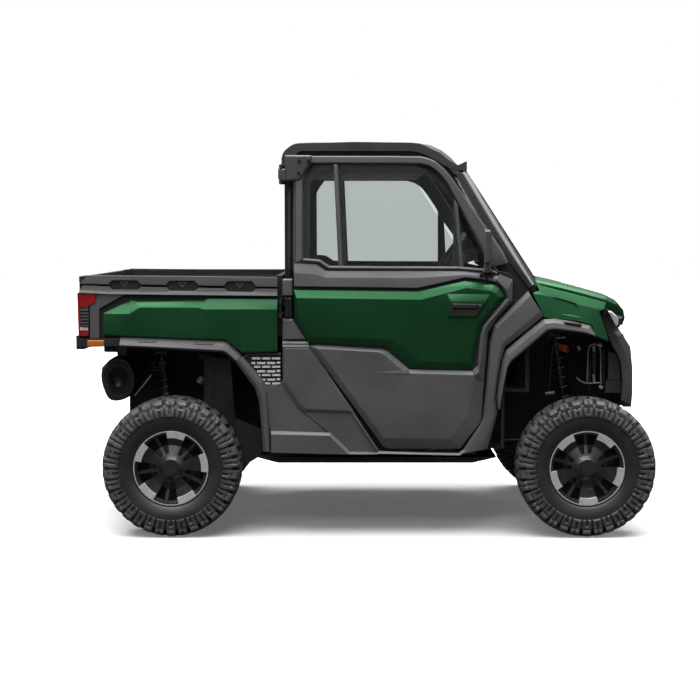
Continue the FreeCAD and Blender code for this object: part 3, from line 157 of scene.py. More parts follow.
def makeFloor():
    reach = studio["floorReach"]
    mesh = bpy.data.meshes.new("studioFloor")
    corners = [(-reach, -reach, -0.001), (reach, -reach, -0.001), (reach, reach, -0.001),
        (-reach, reach, -0.001)]
    mesh.from_pydata(corners, [], [(0, 1, 2, 3)])
    floor = bpy.data.objects.new("studioFloor", mesh)
    scene.collection.objects.link(floor)
    material = bpy.data.materials.new("paleFloor")
    material.use_nodes = True
    tree = material.node_tree
    shader = tree.nodes["Principled BSDF"]
    path = tree.nodes.new("ShaderNodeLightPath").outputs
    dim = sums(tree, "MAXIMUM", sums(tree, "MULTIPLY", path["Is Diffuse Ray"], studio["floorDiffuseDim"]),
               sums(tree, "MULTIPLY", path["Is Glossy Ray"], studio["floorGlossDim"]))
    tree.links.new(sums(tree, "SUBTRACT", studio["floorLevel"], dim), shader.inputs["Base Color"])
    shader.inputs["Roughness"].default_value = 0.9
    shader.inputs["Specular IOR Level"].default_value = 0.0
    shader.inputs["Emission Color"].default_value = (1, 1, 1, 1)
    seen, glossy = seenRays(tree)
    # the glow that camera rays see is weak near the vehicle's middle and full further out: a painted shadow
    # round the vehicle, on top of its real shadow
    spot = tree.nodes.new("ShaderNodeTexCoord").outputs["Object"]
    squashed = place(tree, "ShaderNodeMapping", Scale=(0.45, 0.75, 0))
    tree.links.new(spot, squashed.inputs["Vector"])
    far = place(tree, "ShaderNodeVectorMath", {"operation": "LENGTH"})
    tree.links.new(squashed.outputs[0], far.inputs[0])
    lift = place(tree, "ShaderNodeMapRange", {"interpolation_type": "SMOOTHSTEP"},
                 From_Min=0.5, From_Max=1.5, To_Min=0.10, To_Max=0.6)
    tree.links.new(far.outputs["Value"], lift.inputs["Value"])
    strength = sums(tree, "MULTIPLY", lift.outputs[0], seen)
    tree.links.new(strength, shader.inputs["Emission Strength"])
    mesh.materials.append(material)


def addLamp(name, kind, strength, where, aim, **settings):
    data = bpy.data.lights.new(name, kind)
    data.energy = strength
    for key, value in settings.items():
        setattr(data, key, value)
    lamp = bpy.data.objects.new(name, data)
    lamp.location = where
    toward = np.array(aim) - np.array(where)
    lamp.rotation_euler = (
        math.atan2(math.hypot(toward[0], toward[1]), -toward[2]), 0,
        math.atan2(toward[1], toward[0]) - math.pi / 2)
    scene.collection.objects.link(lamp)


makeCamera()
makeWorld()
makeFloor()
addLamp("overheadLight", "SUN", studio["overhead"], studio["overheadPlace"], (0, 0, 0.8),
        angle=math.radians(studio["overheadAngle"]))
addLamp("frontLight", "AREA", studio["frontPower"], studio["frontPlace"], (0, 0, 0.9),
        shape="RECTANGLE", size=studio["frontSize"][0], size_y=studio["frontSize"][1])
print("camera, floor and lamps are set")


# effects that several finishes share

def newGroup(name, inputs, outputs):
    group = bpy.data.node_groups.new(name, "ShaderNodeTree")
    for title, kind in inputs:
        group.interface.new_socket(title, in_out="INPUT", socket_type="NodeSocket" + kind)
    for title, kind in outputs:
        group.interface.new_socket(title, in_out="OUTPUT", socket_type="NodeSocket" + kind)
    return group, group.nodes.new("NodeGroupInput").outputs, group.nodes.new("NodeGroupOutput").inputs


def makeGrain():
    # fine moulded or cast grain: two sizes of noise raise the surface
    group, given, result = newGroup(
        "fineGrain", [("Vector", "Vector"), ("Scale", "Float"), ("Depth", "Float")], [("Normal", "Vector")])
    heights = []
    for share in (1.0, 0.37):
        noise = place(group, "ShaderNodeTexNoise", Detail=3.0, Roughness=0.6)
        group.links.new(given["Vector"], noise.inputs["Vector"])
        group.links.new(sums(group, "MULTIPLY", given["Scale"], share), noise.inputs["Scale"])
        heights.append(noise.outputs["Fac"])
    bump = place(group, "ShaderNodeBump", Strength=1.0)
    group.links.new(sums(group, "ADD", *heights), bump.inputs["Height"])
    group.links.new(given["Depth"], bump.inputs["Distance"])
    group.links.new(bump.outputs[0], result["Normal"])
    return group


def makeTone():
    # slow clouds of lighter and darker tone; the mask is 1 where the tone is light
    group, given, result = newGroup(
        "cloudyTone", [("Vector", "Vector"), ("Dark", "Color"), ("Light", "Color"), ("Scale", "Float")],
        [("Color", "Color"), ("Mask", "Float")])
    noise = place(group, "ShaderNodeTexNoise", Detail=5.0, Roughness=0.55)
    group.links.new(given["Vector"], noise.inputs["Vector"])
    group.links.new(given["Scale"], noise.inputs["Scale"])
    spread = place(group, "ShaderNodeMapRange", {"interpolation_type": "SMOOTHSTEP"}, From_Min=0.3,
        From_Max=0.7)
    group.links.new(noise.outputs["Fac"], spread.inputs["Value"])
    mix = place(group, "ShaderNodeMix", {"data_type": "RGBA"})
    group.links.new(spread.outputs[0], mix.inputs[0])
    group.links.new(given["Dark"], mix.inputs[6])
    group.links.new(given["Light"], mix.inputs[7])
    group.links.new(mix.outputs[2], result["Color"])
    group.links.new(spread.outputs[0], result["Mask"])
    return group


def makeDust():
    # dust that thins out with height over the ground and gathers in clouds
    group, given, result = newGroup(
        "roadDust", [("Vector", "Vector"), ("Base", "Color"), ("Dust", "Color"), ("Amount", "Float"),
            ("Top", "Float")],
        [("Color", "Color"), ("Mask", "Float")])
    split = group.nodes.new("ShaderNodeSeparateXYZ")
    group.links.new(given["Vector"], split.inputs[0])
    fade = place(group, "ShaderNodeMapRange", From_Min=0.0, To_Min=1.0, To_Max=0.0)
    group.links.new(split.outputs["Z"], fade.inputs["Value"])
    group.links.new(given["Top"], fade.inputs["From Max"])
    noise = place(group, "ShaderNodeTexNoise", Scale=26.0, Detail=6.0, Roughness=0.65)
    group.links.new(given["Vector"], noise.inputs["Vector"])
    mask = sums(group, "MULTIPLY", sums(group, "MULTIPLY", fade.outputs[0], noise.outputs["Fac"]),
        given["Amount"])
    mix = place(group, "ShaderNodeMix", {"data_type": "RGBA"})
    group.links.new(mask, mix.inputs[0])
    group.links.new(given["Base"], mix.inputs[6])
    group.links.new(given["Dust"], mix.inputs[7])
    group.links.new(mix.outputs[2], result["Color"])
    group.links.new(mask, result["Mask"])
    return group


fineGrain, cloudyTone, roadDust = makeGrain(), makeTone(), makeDust()


def grey(level):
    return (level, level, level * 1.02, 1)


def rgb(red, green, blue):
    return (red, green, blue, 1)


def useGroup(tree, group, links=None, **values):
    node = tree.nodes.new("ShaderNodeGroup")
    node.node_tree = group
    for key, value in values.items():
        node.inputs[key].default_value = value
    for key, socket in (links or {}).items():
        tree.links.new(socket, node.inputs[key])
    return node


def finish(name, dark, light, rough=(0.4, 0.5), cloud=6.0, grain=(900.0, 0.00025), dust=None, shader=None):
    # a surface whose tone, gloss and grain all vary; the shader's uniform values come by name
    material = bpy.data.materials.new(name)
    material.use_nodes = True
    tree = material.node_tree
    principled = tree.nodes["Principled BSDF"]
    for key, value in (shader or {}).items():
        principled.inputs[key].default_value = value
    spot = tree.nodes.new("ShaderNodeTexCoord").outputs["Object"]
    tone = useGroup(tree, cloudyTone, {"Vector": spot}, Dark=dark, Light=light, Scale=cloud)
    colour = tone.outputs["Color"]
    if dust:
        film = useGroup(tree, roadDust, {"Vector": spot, "Base": colour}, Dust=dust["colour"],
                        Amount=dust["amount"], Top=dust["top"])
        colour = film.outputs["Color"]
    tree.links.new(colour, principled.inputs["Base Color"])
    gloss = place(tree, "ShaderNodeMapRange", To_Min=rough[0], To_Max=rough[1])
    tree.links.new(tone.outputs["Mask"], gloss.inputs["Value"])
    tree.links.new(gloss.outputs[0], principled.inputs["Roughness"])
    relief = useGroup(tree, fineGrain, {"Vector": spot}, Scale=grain[0], Depth=grain[1])
    tree.links.new(relief.outputs["Normal"], principled.inputs["Normal"])
    return material


paleDust = rgb(0.20, 0.19, 0.175)
greenPaint = finish(
    "greenPaint", rgb(0.0155, 0.100, 0.036), rgb(0.019, 0.111, 0.041), (0.30, 0.36), 3.0, (2600.0, 0.00006),
    shader={"Metallic": 0.62, "Coat Weight": 0.22, "Coat Roughness": 0.10, "Specular IOR Level": 0.3})
mouldedGrey = finish(
    "mouldedGrey", grey(0.128), grey(0.146), (0.44, 0.54), 5.0, (1100.0, 0.00022),
    {"colour": paleDust, "amount": 0.10, "top": 0.7},
    {"Metallic": 0.3, "Specular IOR Level": 0.35})
darkGrey = finish(
    "darkGrey", grey(0.060), grey(0.074), (0.38, 0.48), 5.0, (1000.0, 0.00025), shader={"Metallic": 0.25})
blackPlastic = finish(
    "blackPlastic", grey(0.0075), grey(0.011), (0.55, 0.68), 7.0, (850.0, 0.0003),
    {"colour": paleDust, "amount": 0.06, "top": 0.6})
frameBlack = finish(
    "frameBlack", grey(0.010), grey(0.016), (0.30, 0.42), 9.0, (420.0, 0.0002),
    {"colour": paleDust, "amount": 0.10, "top": 0.6}, {"Coat Weight": 0.3, "Coat Roughness": 0.2})
castMetal = finish(
    "castMetal", grey(0.10), grey(0.16), (0.45, 0.60), 14.0, (260.0, 0.0005), shader={"Metallic": 0.7})
exhaustBlack = finish(
    "exhaustBlack", grey(0.044), grey(0.060), (0.34, 0.44), 12.0, (500.0, 0.00025), shader={"Metallic": 0.4})
springBlack = finish(
    "springBlack", grey(0.014), grey(0.022), (0.16, 0.24), 20.0, (300.0, 0.00012),
    shader={"Coat Weight": 0.8})
brightMetal = finish(
    "brightMetal", grey(0.50), grey(0.62), (0.22, 0.32), 40.0, (1500.0, 0.00008), shader={"Metallic": 1.0})
ventSilver = finish(
    "ventSilver", grey(0.15), grey(0.20), (0.34, 0.44), 18.0, (1200.0, 0.0002), shader={"Metallic": 0.5})
rimDark = finish(
    "rimDark", grey(0.034), grey(0.044), (0.26, 0.36), 16.0, (1400.0, 0.00012),
    {"colour": paleDust, "amount": 0.05, "top": 0.7}, {"Metallic": 0.35, "Coat Weight": 0.3,
        "Coat Roughness": 0.2})
rimSilver = finish(
    "rimSilver", grey(0.70), grey(0.76), (0.24, 0.32), 12.0, (900.0, 0.00002), shader={"Metallic": 0.25})
# metal fittings deep in the arches, made pale because little lamp light reaches there: painted light
paleFitting = finish(
    "paleFitting", grey(0.38), grey(0.52), (0.34, 0.46), 22.0, (600.0, 0.0002), shader={"Metallic": 0.2})
tyreRubber = finish(
    "tyreRubber", grey(0.092), grey(0.118), (0.38, 0.50), 11.0, (700.0, 0.0003),
    {"colour": paleDust, "amount": 0.25, "top": 0.75})
benchVinyl = finish(
    "benchVinyl", grey(0.012), grey(0.019), (0.42, 0.55), 9.0, (520.0, 0.0006), shader={"Sheen Weight": 0.15})
orangeAnodised = finish(
    "orangeAnodised", rgb(0.55, 0.13, 0.01), rgb(0.66, 0.17, 0.015), (0.25, 0.35), 30.0, (1200.0, 0.0001),
    shader={"Metallic": 0.4})
rustBrown = finish(
    "rustBrown", rgb(0.16, 0.060, 0.022), rgb(0.24, 0.095, 0.034), (0.35, 0.5), 34.0, (900.0, 0.0002),
    shader={"Metallic": 0.3})
lampRed = finish(
    "lampRed", rgb(0.32, 0.006, 0.008), rgb(0.42, 0.010, 0.012), (0.10, 0.16), 24.0, (300.0, 0.00006),
    shader={"Coat Weight": 1.0, "Coat Roughness": 0.04})
orangeLens = finish(
    "orangeLens", rgb(0.62, 0.16, 0.008), rgb(0.75, 0.22, 0.012), (0.12, 0.2), 40.0, (420.0, 0.0001),
    shader={"Coat Weight": 1.0, "Coat Roughness": 0.04})
reflectorDark = finish(
    "reflectorDark", rgb(0.020, 0.008, 0.008), rgb(0.034, 0.012, 0.012), (0.20, 0.3), 40.0, (600.0, 0.0001))
frameGrey = finish(
    "frameGrey", grey(0.105), grey(0.120), (0.34, 0.42), 5.0, (900.0, 0.0002),
    shader={"Metallic": 0.35, "Specular IOR Level": 0.5})
# the pillar strips' metal, made paler than the covers to stand for their highlight: painted highlight
pillarSilver = finish(
    "pillarSilver", grey(0.40), grey(0.46), (0.30, 0.38), 4.0, (900.0, 0.00003), shader={"Metallic": 0.6})
archLiner = finish(
    "archLiner", grey(0.016), grey(0.026), (0.30, 0.42), 8.0, (700.0, 0.0003),
    {"colour": paleDust, "amount": 0.08, "top": 0.9})
lampClear = finish(
    "lampClear", grey(0.62), grey(0.80), (0.06, 0.12), 30.0, (220.0, 0.00005),
    shader={"Metallic": 0.3, "Coat Weight": 1.0, "Coat Roughness": 0.03})


def glassFinish(name, tint):
    # clear pane with a faint film of cleaning marks; rays from lamps pass straight through
    material = bpy.data.materials.new(name)
    material.use_nodes = True
    tree = material.node_tree
    pane = tree.nodes["Principled BSDF"]
    pane.inputs["Base Color"].default_value = tint
    pane.inputs["Transmission Weight"].default_value = 1.0
    pane.inputs["IOR"].default_value = 1.3
    spot = tree.nodes.new("ShaderNodeTexCoord").outputs["Object"]
    marks = useGroup(tree, cloudyTone, {"Vector": spot}, Scale=7.0)
    film = place(tree, "ShaderNodeMapRange", To_Min=0.0, To_Max=0.03)
    tree.links.new(marks.outputs["Mask"], film.inputs["Value"])
    tree.links.new(film.outputs[0], pane.inputs["Roughness"])
    path = tree.nodes.new("ShaderNodeLightPath").outputs
    through = place(tree, "ShaderNodeBsdfTransparent", Color=tint)
    mix = tree.nodes.new("ShaderNodeMixShader")
    tree.links.new(path["Is Shadow Ray"], mix.inputs[0])
    tree.links.new(pane.outputs[0], mix.inputs[1])
    tree.links.new(through.outputs[0], mix.inputs[2])
    tree.links.new(mix.outputs[0], tree.nodes["Material Output"].inputs["Surface"])
    return material


def paintedShadeByAttribute(material, attribute, low):
    # painted shade: the mesh's own attribute darkens the colour where it is 0 and leaves it where it is 1
    tree = material.node_tree
    principled = tree.nodes["Principled BSDF"]
    before = principled.inputs["Base Color"].links[0].from_socket
    mark = tree.nodes.new("ShaderNodeAttribute")
    mark.attribute_name = attribute
    level = place(tree, "ShaderNodeMapRange", To_Min=low, To_Max=1.0)
    tree.links.new(mark.outputs["Fac"], level.inputs["Value"])
    scaled = place(tree, "ShaderNodeVectorMath", {"operation": "SCALE"})
    tree.links.new(before, scaled.inputs[0])
    tree.links.new(level.outputs[0], scaled.inputs["Scale"])
    tree.links.new(scaled.outputs[0], principled.inputs["Base Color"])


# the tyre rubber is darkened in its grooves and hollows, where raised is low: painted shade
paintedShadeByAttribute(tyreRubber, "raised", 0.16)
cabGlass = glassFinish("cabGlass", rgb(0.66, 0.70, 0.69))
print("finishes are made")

nodeFinish = {
    "frameBlack": "frame frame_uprights suspension_arms half_shafts driveline steering_column rear_knuckles"
                  " knuckle_right knuckle_left tie_rods roll_cage door_hinges hood_hinges",
    "castMetal": "engine",
    "exhaustBlack": "exhaust",
    "springBlack": "shocks",
    "greenPaint": "door_skin_right door_skin_left bed_sides hood front_fenders",
    "mouldedGrey": "side_panels cowl_panels front_flares rear_flares front_bumper bed_trim"
                   " door_right door_left",
    "darkGrey": "roof mirror_right mirror_left tailgate",
    "blackPlastic": "belly_pan arch_liners fascia bed_sill dashboard cab_tub steering_wheel bed_tub",
    "ventSilver": "side_vents",
    "cabGlass": "windscreen rear_window door_glass_right door_glass_left",
    "lampClear": "headlamps",
    "lampRed": "tail_lamps",
    "benchVinyl": "bench_cushion bench_back",
    "tyreRubber": "tyre_front_right tyre_front_left tyre_rear_right tyre_rear_left",
    "rimDark": "wheel_front_right wheel_front_left wheel_rear_right wheel_rear_left",
}
for finishName, names in nodeFinish.items():
    for nodeName in names.split():
        mesh = nodes[nodeName].data
        mesh.materials.clear()
        mesh.materials.append(bpy.data.materials[finishName])


# shapes: each is computed as a whole grid of points

def gridFaces(rows, columns, closedRows=False, closedColumns=False):
    # quads between the points of a grid that is stored row by row
    i, j = np.meshgrid(
        np.arange(rows if closedRows else rows - 1), np.arange(columns if closedColumns else columns - 1),
        indexing="ij")
    nextI, nextJ = (i + 1) % rows, (j + 1) % columns
    corners = [i * columns + j, nextI * columns + j, nextI * columns + nextJ, i * columns + nextJ]
    return np.stack(corners, -1).reshape(-1, 4).tolist()


def newPiece(name, points, faces, material, body, slotName, sharp=35):
    # a mesh with its faces outward, softly shaded up to the sharp angle, on its body
    mesh = bpy.data.meshes.new(name)
    mesh.from_pydata(np.asarray(points, float).reshape(-1, 3).tolist(), [], faces)
    working = bmesh.new()
    working.from_mesh(mesh)
    bmesh.ops.recalc_face_normals(working, faces=working.faces)
    working.to_mesh(mesh)
    working.free()
    mesh.materials.append(material)
    mesh.shade_smooth()
    mesh.set_sharp_from_angle(angle=math.radians(sharp))
    piece = bpy.data.objects.new(name, mesh)
    scene.collection.objects.link(piece)
    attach(piece, body)
    return piece


def joinedShapes(shapes):
    # several (points, faces) as one, the faces counted on
    points, faces, start = [], [], 0
    for shapePoints, shapeFaces in shapes:
        shapePoints = np.asarray(shapePoints, float).reshape(-1, 3)
        points.append(shapePoints)
        faces += [[index + start for index in face] for face in shapeFaces]
        start += len(shapePoints)
    return np.concatenate(points), faces


def smoothLine(corners, rounds=3):
    # corner cutting: each run gives a point a quarter and three quarters along it
    line = np.asarray(corners, float)
    for _ in range(rounds):
        near = 0.75 * line[:-1] + 0.25 * line[1:]
        far = 0.25 * line[:-1] + 0.75 * line[1:]
        middle = np.stack([near, far], 1).reshape(-1, line.shape[1])
        line = np.concatenate([line[:1], middle, line[-1:]])
    return line


def evenLine(line, count):
    # the same line with a count of points spaced evenly along its length
    steps = np.linalg.norm(np.diff(line, axis=0), axis=1)
    length = np.concatenate([[0], np.cumsum(steps)])
    spaced = np.linspace(0, length[-1], count)
    return np.stack([np.interp(spaced, length, line[:, k]) for k in range(line.shape[1])], 1)


def lathe(profile, centre, steps):
    # a closed profile of (place across the vehicle, radius) turned about the cross axis through the centre
    profile = np.asarray(profile, float)
    turn = np.linspace(0, 2 * math.pi, steps, endpoint=False)
    along = np.repeat(profile[:, :1], steps, 1)
    first, second = profile[:, 1:] * np.cos(turn), profile[:, 1:] * np.sin(turn)
    return np.stack([first, along, second], -1) + np.array(centre), gridFaces(len(profile), steps, True, True)


def prism(corners, low, high):
    # a flat outline of (x, z) pushed from low to high across the vehicle
    corners = np.asarray(corners, float)
    count = len(corners)
    layers = [np.insert(corners, 1, level, axis=1) for level in (low, high)]
    faces = [list(range(count)), list(range(count, 2 * count))]
    faces += [[i, (i + 1) % count, (i + 1) % count + count, i + count] for i in range(count)]
    return np.concatenate(layers), faces


def tubeAlong(path, radius, sides, upward):
    # circles across the path's direction, with closed ends, each begun across the upward direction
    path = np.asarray(path, float)
    direction = np.gradient(path, axis=0)
    direction /= np.linalg.norm(direction, axis=1, keepdims=True)
    across = np.cross(direction, np.array(upward, float))
    across /= np.linalg.norm(across, axis=1, keepdims=True)
    over = np.cross(across, direction)
    turn = np.linspace(0, 2 * math.pi, sides, endpoint=False)[None, :, None]
    ring = np.cos(turn) * across[:, None] + np.sin(turn) * over[:, None]
    points = path[:, None] + np.broadcast_to(np.asarray(radius, float), len(path))[:, None, None] * ring
    faces = gridFaces(len(path), sides, False, True)
    last = (len(path) - 1) * sides
    return points, faces + [list(range(sides)), list(range(last, last + sides))]


def roundEdges(piece, width, segments=3, angle=30):
    bevel = piece.modifiers.new("roundEdges", "BEVEL")
    bevel.width = width
    bevel.segments = segments
    bevel.limit_method = "ANGLE"
    bevel.angle_limit = math.radians(angle)
    return piece


# tyres

tyre = {
    "outer": 0.346, "bead": 0.186, "outerSide": 0.810, "pitches": 17, "columns": 34, "rows": 150,
    "lug": 0.019, "sideLug": 0.0075,
}


def ramp(value, start, end):
    return np.clip((value - start) / (end - start), 0, 1)


def patch(turn, along, turnFrom, turnTo, alongFrom, alongTo, soft=(0.020, 0.0020)):
    # 1 inside a rectangle of the unrolled tread, falling to 0 over a narrow slope
    inTurn = ramp(turn, turnFrom, turnFrom + soft[0]) * ramp(-turn, -turnTo, -turnTo + soft[0])
    inAlong = ramp(along, alongFrom, alongFrom + soft[1]) * ramp(-along, -alongTo, -alongTo + soft[1])
    return inTurn * inAlong


def tyreHalf(turn, radius, across, half):
    # heights over one half: side ribs shaped as a U and an H, shoulder blocks, then slanted middle blocks
    pitch = turn % 1
    onSide = across < 0.13 * half
    uRib = patch(pitch, radius, 0.03, 0.47, 0.256, 0.350)
    uHollow = patch(pitch, radius, 0.19, 0.31, 0.270, 0.332)
    hRib = patch(pitch, radius, 0.53, 0.97, 0.256, 0.350)
    hHollow = np.maximum(
        patch(pitch, radius, 0.67, 0.82, 0.2, 0.288), patch(pitch, radius, 0.67, 0.82, 0.299, 0.330))
    side = np.maximum(uRib - 0.85 * uHollow, hRib - 0.85 * hHollow) * tyre["sideLug"]
    shoulder = np.maximum(
        patch(pitch, across, 0.05, 0.44, -0.01, 0.46 * half),
        patch(pitch, across, 0.56, 0.93, -0.01, 0.36 * half))
    slanted = (turn + 1.6 * (across - half)) % 1
    middle = np.maximum(
        patch(slanted, across, 0.20, 0.56, 0.52 * half, 0.92 * half),
        patch(slanted, across, 0.70, 0.98, 0.44 * half, half * 1.1))
    notch = 1 - 0.55 * patch(pitch, across, 0.20, 0.28, 0.0, 0.30 * half)
    tread = np.maximum(shoulder * notch, middle) * tyre["lug"] * ramp(radius, 0.300, 0.312)
    return np.where(onSide, np.maximum(side, tread * ramp(radius, 0.318, 0.330)), tread)


def tyreShape(width):
    # a ring: the profile gives the carcass, and the lug pattern pushes it out along its normal
    top, bead = tyre["outer"], tyre["bead"]
    groove = top - tyre["lug"]
    outerHalf = [
        (0.140 * width, bead), (0.118 * width, bead + 0.003), (0.070 * width, bead + 0.016),
        (0.030 * width, bead + 0.050), (0.034 * width, bead + 0.084), (0.060 * width, bead + 0.118),
        (0.105 * width, groove - 0.010), (0.19 * width, groove - 0.001), (0.5 * width, groove),
    ]
    corners = outerHalf + [(width - y, r) for y, r in outerHalf[-2::-1]]
    profile = evenLine(smoothLine(corners), tyre["rows"])
    slope = np.gradient(profile, axis=0)
    slope /= np.linalg.norm(slope, axis=1, keepdims=True)
    normal = np.stack([-slope[:, 1], slope[:, 0]], 1)
    columns = tyre["pitches"] * tyre["columns"]
    turn = np.arange(columns) / tyre["columns"]
    across, radius = profile[:, :1], profile[:, 1:]
    fromEdge = np.minimum(across, width - across)
    offset = np.where(across > width / 2, 0.5, 0.0)
    height = tyreHalf(turn[None, :] + offset, radius + 0 * turn, fromEdge + 0 * turn, width / 2)
    flat = np.minimum(radius + normal[:, 1:] * height, top)
    y = np.clip(across + normal[:, :1] * height, 0.0005, width - 0.0005)
    angle = turn * 2 * math.pi / tyre["pitches"]
    points = np.stack([flat * np.cos(angle), y + 0 * angle, flat * np.sin(angle)], -1)
    # raised: near 1 on the lugs and tread tops, low in the grooves and hollows, where the tyre's colour gets
    # painted shade
    raised = np.clip(height / tyre["sideLug"], 0, 1) * ramp(radius, 0.245, 0.285)
    raised = 0.10 + 0.90 * raised + 0.10 * ramp(-radius, -0.20, -0.19)
    return points, gridFaces(tyre["rows"], columns, True, True), raised


tyreSizes = {"front": (1.091, 0.230), "rear": (-0.969, 0.280)}      # the axle's place and the tyre's width
for end, (axle, width) in tyreSizes.items():
    points, faces, raised = tyreShape(width)
    for side, sign in (("right", -1), ("left", 1)):
        placed = points.copy()
        placed[..., 1] = sign * (tyre["outerSide"] - points[..., 1])
        placed += np.array([axle, 0, tyre["outer"]])
        name = f"{end}Tyre{side.capitalize()}"
        piece = newPiece(name, placed, faces, tyreRubber, f"{end}_wheel_{side}", "tyre", 50)
        mark = piece.data.attributes.new("raised", "FLOAT", "POINT")
        mark.data.foreach_set("value", raised.astype(np.float32).ravel())
        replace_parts(piece, f"tyre_{end}_{side}")
print("tyres are made")


# wheels: five bright segments and a bright ring

wheelTrim = {
    "front": {"axle": 1.091, "lip": 0.787, "turn": -3, "cap": 0.8015},
    "rear": {"axle": -0.969, "lip": 0.782, "turn": -27, "cap": 0.7965},
    "middleZ": 0.346,
    "segment": (0.150, 0.1855), "segmentHalf": 15.6, "segmentSteps": 17, "segmentDepth": 0.022,
    "ring": (0.180, 0.1868), "ringDepth": 0.004, "ringRise": 0.0015,
    # behind the windows: how far in from the lip, then the radii
    "drum": (0.085, 0.095, 0.0005, 0.172), "disc": (0.070, 0.076, 0.050, 0.112),
    "capRings": [(0.0295, 0.0345), (0.0185, 0.0215)],
}


def segmentShape(middle, y, sign):
    # a curved pad between two radii, raised over the petal's end
    low, high = wheelTrim["segment"]
    half, steps, depth = wheelTrim["segmentHalf"], wheelTrim["segmentSteps"], wheelTrim["segmentDepth"]
    angle = np.radians(np.linspace(middle - half, middle + half, steps))
    radius = np.array([low, low, high, high])
    lift = sign * np.array([y - depth, y + 0.0005, y + 0.002, y - depth])
    ring = np.stack([
        radius[:, None] * np.cos(angle), lift[:, None] + 0 * angle, radius[:, None] * np.sin(angle)], -1)
    ends = [[start + steps * row for row in range(4)] for start in (0, steps - 1)]
    return ring, gridFaces(4, steps, True, False) + ends


def wheelTrimPieces(end, side, sign):
    facts = wheelTrim[end]
    centre = np.array([facts["axle"], 0, wheelTrim["middleZ"]])
    body = f"{end}_wheel_{side}"
    tag = f"{end}{side.capitalize()}"
    lip = facts["lip"]
    pads = []
    for step in range(5):
        points, faces = segmentShape(90 - facts["turn"] + 36 + 72 * step, lip, sign)
        pads.append((points + centre, faces))
    points, faces = joinedShapes(pads)
    roundEdges(newPiece(tag + "Segments", points, faces, rimSilver, body, "rim"), 0.0015)
    low, high = wheelTrim["ring"]
    foot, top = lip - wheelTrim["ringDepth"], lip + wheelTrim["ringRise"]
    ring = [(foot, low), (top, low + 0.001), (top, high - 0.001), (foot, high)]
    ring = [(sign * y, r) for y, r in ring]
    newPiece(tag + "RimEdge", *lathe(ring, centre, 128), rimSilver, body, "rim")


for end in ("front", "rear"):
    for side, sign in (("right", -1), ("left", 1)):
        wheelTrimPieces(end, side, sign)
print("wheel trim is made")

# body panels: facets between lines that are read from the side view

# how the side view is seen: the camera's place in mm, its focal length and its middle in pixels
sight = {"away": 8142, "along": -58.1, "up": 1497, "focal": 1501, "column": 355, "row": 350}


def atPixel(points):
    # photo column, photo row and reach from the middle in mm, to a place on the right-hand side
    column, row, reach = np.moveaxis(np.asarray(points, float), -1, 0)
    depth = sight["away"] - reach
    x = (column - sight["column"]) * depth / sight["focal"] + sight["along"]
    dip = math.radians(studio["tiltDown"]) + np.arctan((row - sight["row"]) / sight["focal"])
    z = sight["up"] - depth * np.tan(dip)
    return np.stack([x, -reach, z], -1) / 1000


def line(reach, *spots):
    # one line of (column, row) spots, all at one reach or each at its own
    spots = np.asarray(spots, float)
    return np.column_stack([spots, np.broadcast_to(np.asarray(reach, float), len(spots))])


def between(first, second, share, reach):
    # the line a share of the way from one line to another, at its own reach
    middle = first + share * (second - first)
    middle[:, 2] = reach
    return middle


def ringPanel(rings, back):
    # closed lines, each inside the one before, from a flat back out to a flat face
    front = np.stack([atPixel(ring) for ring in rings])
    rear = front[:1].copy()
    rear[..., 1] = -back / 1000
    points = np.concatenate([rear, front])
    rows, count = points.shape[:2]
    last = (rows - 1) * count
    return points, gridFaces(rows, count, False, True) + [list(range(count)), list(range(last, last + count))]


def bandPanel(lines, back):
    # open lines from the upper edge to the lower, the facets between them, and a flat back
    front = np.stack([atPixel(one) for one in lines])
    rows, columns = front.shape[:2]
    count = rows * columns
    rear = front.copy()
    rear[..., 1] = -back / 1000
    faces = gridFaces(rows, columns)
    border = list(range(columns)) + [i * columns + columns - 1 for i in range(1, rows)]
    border += list(range(count - 2, count - columns - 1, -1)) + [i * columns for i in range(rows - 2, 0, -1)]
    walls = [[a, b, b + count, a + count] for a, b in zip(border, border[1:] + border[:1])]
    return np.stack([front, rear]), faces + [[i + count for i in face] for face in faces] + walls


def onSide(shape, side):
    points = np.array(shape[0], float).reshape(-1, 3)
    if side == "left":
        points[:, 1] *= -1
    return points, shape[1]


def bothSides(*shapes):
    return joinedShapes([onSide(shape, side) for side in ("right", "left") for shape in shapes])


def panel(name, shape, material, body, slotName, rounding=0.0022):
    piece = newPiece(name, *shape, material, body, slotName)
    return roundEdges(piece, rounding, 3, 9)


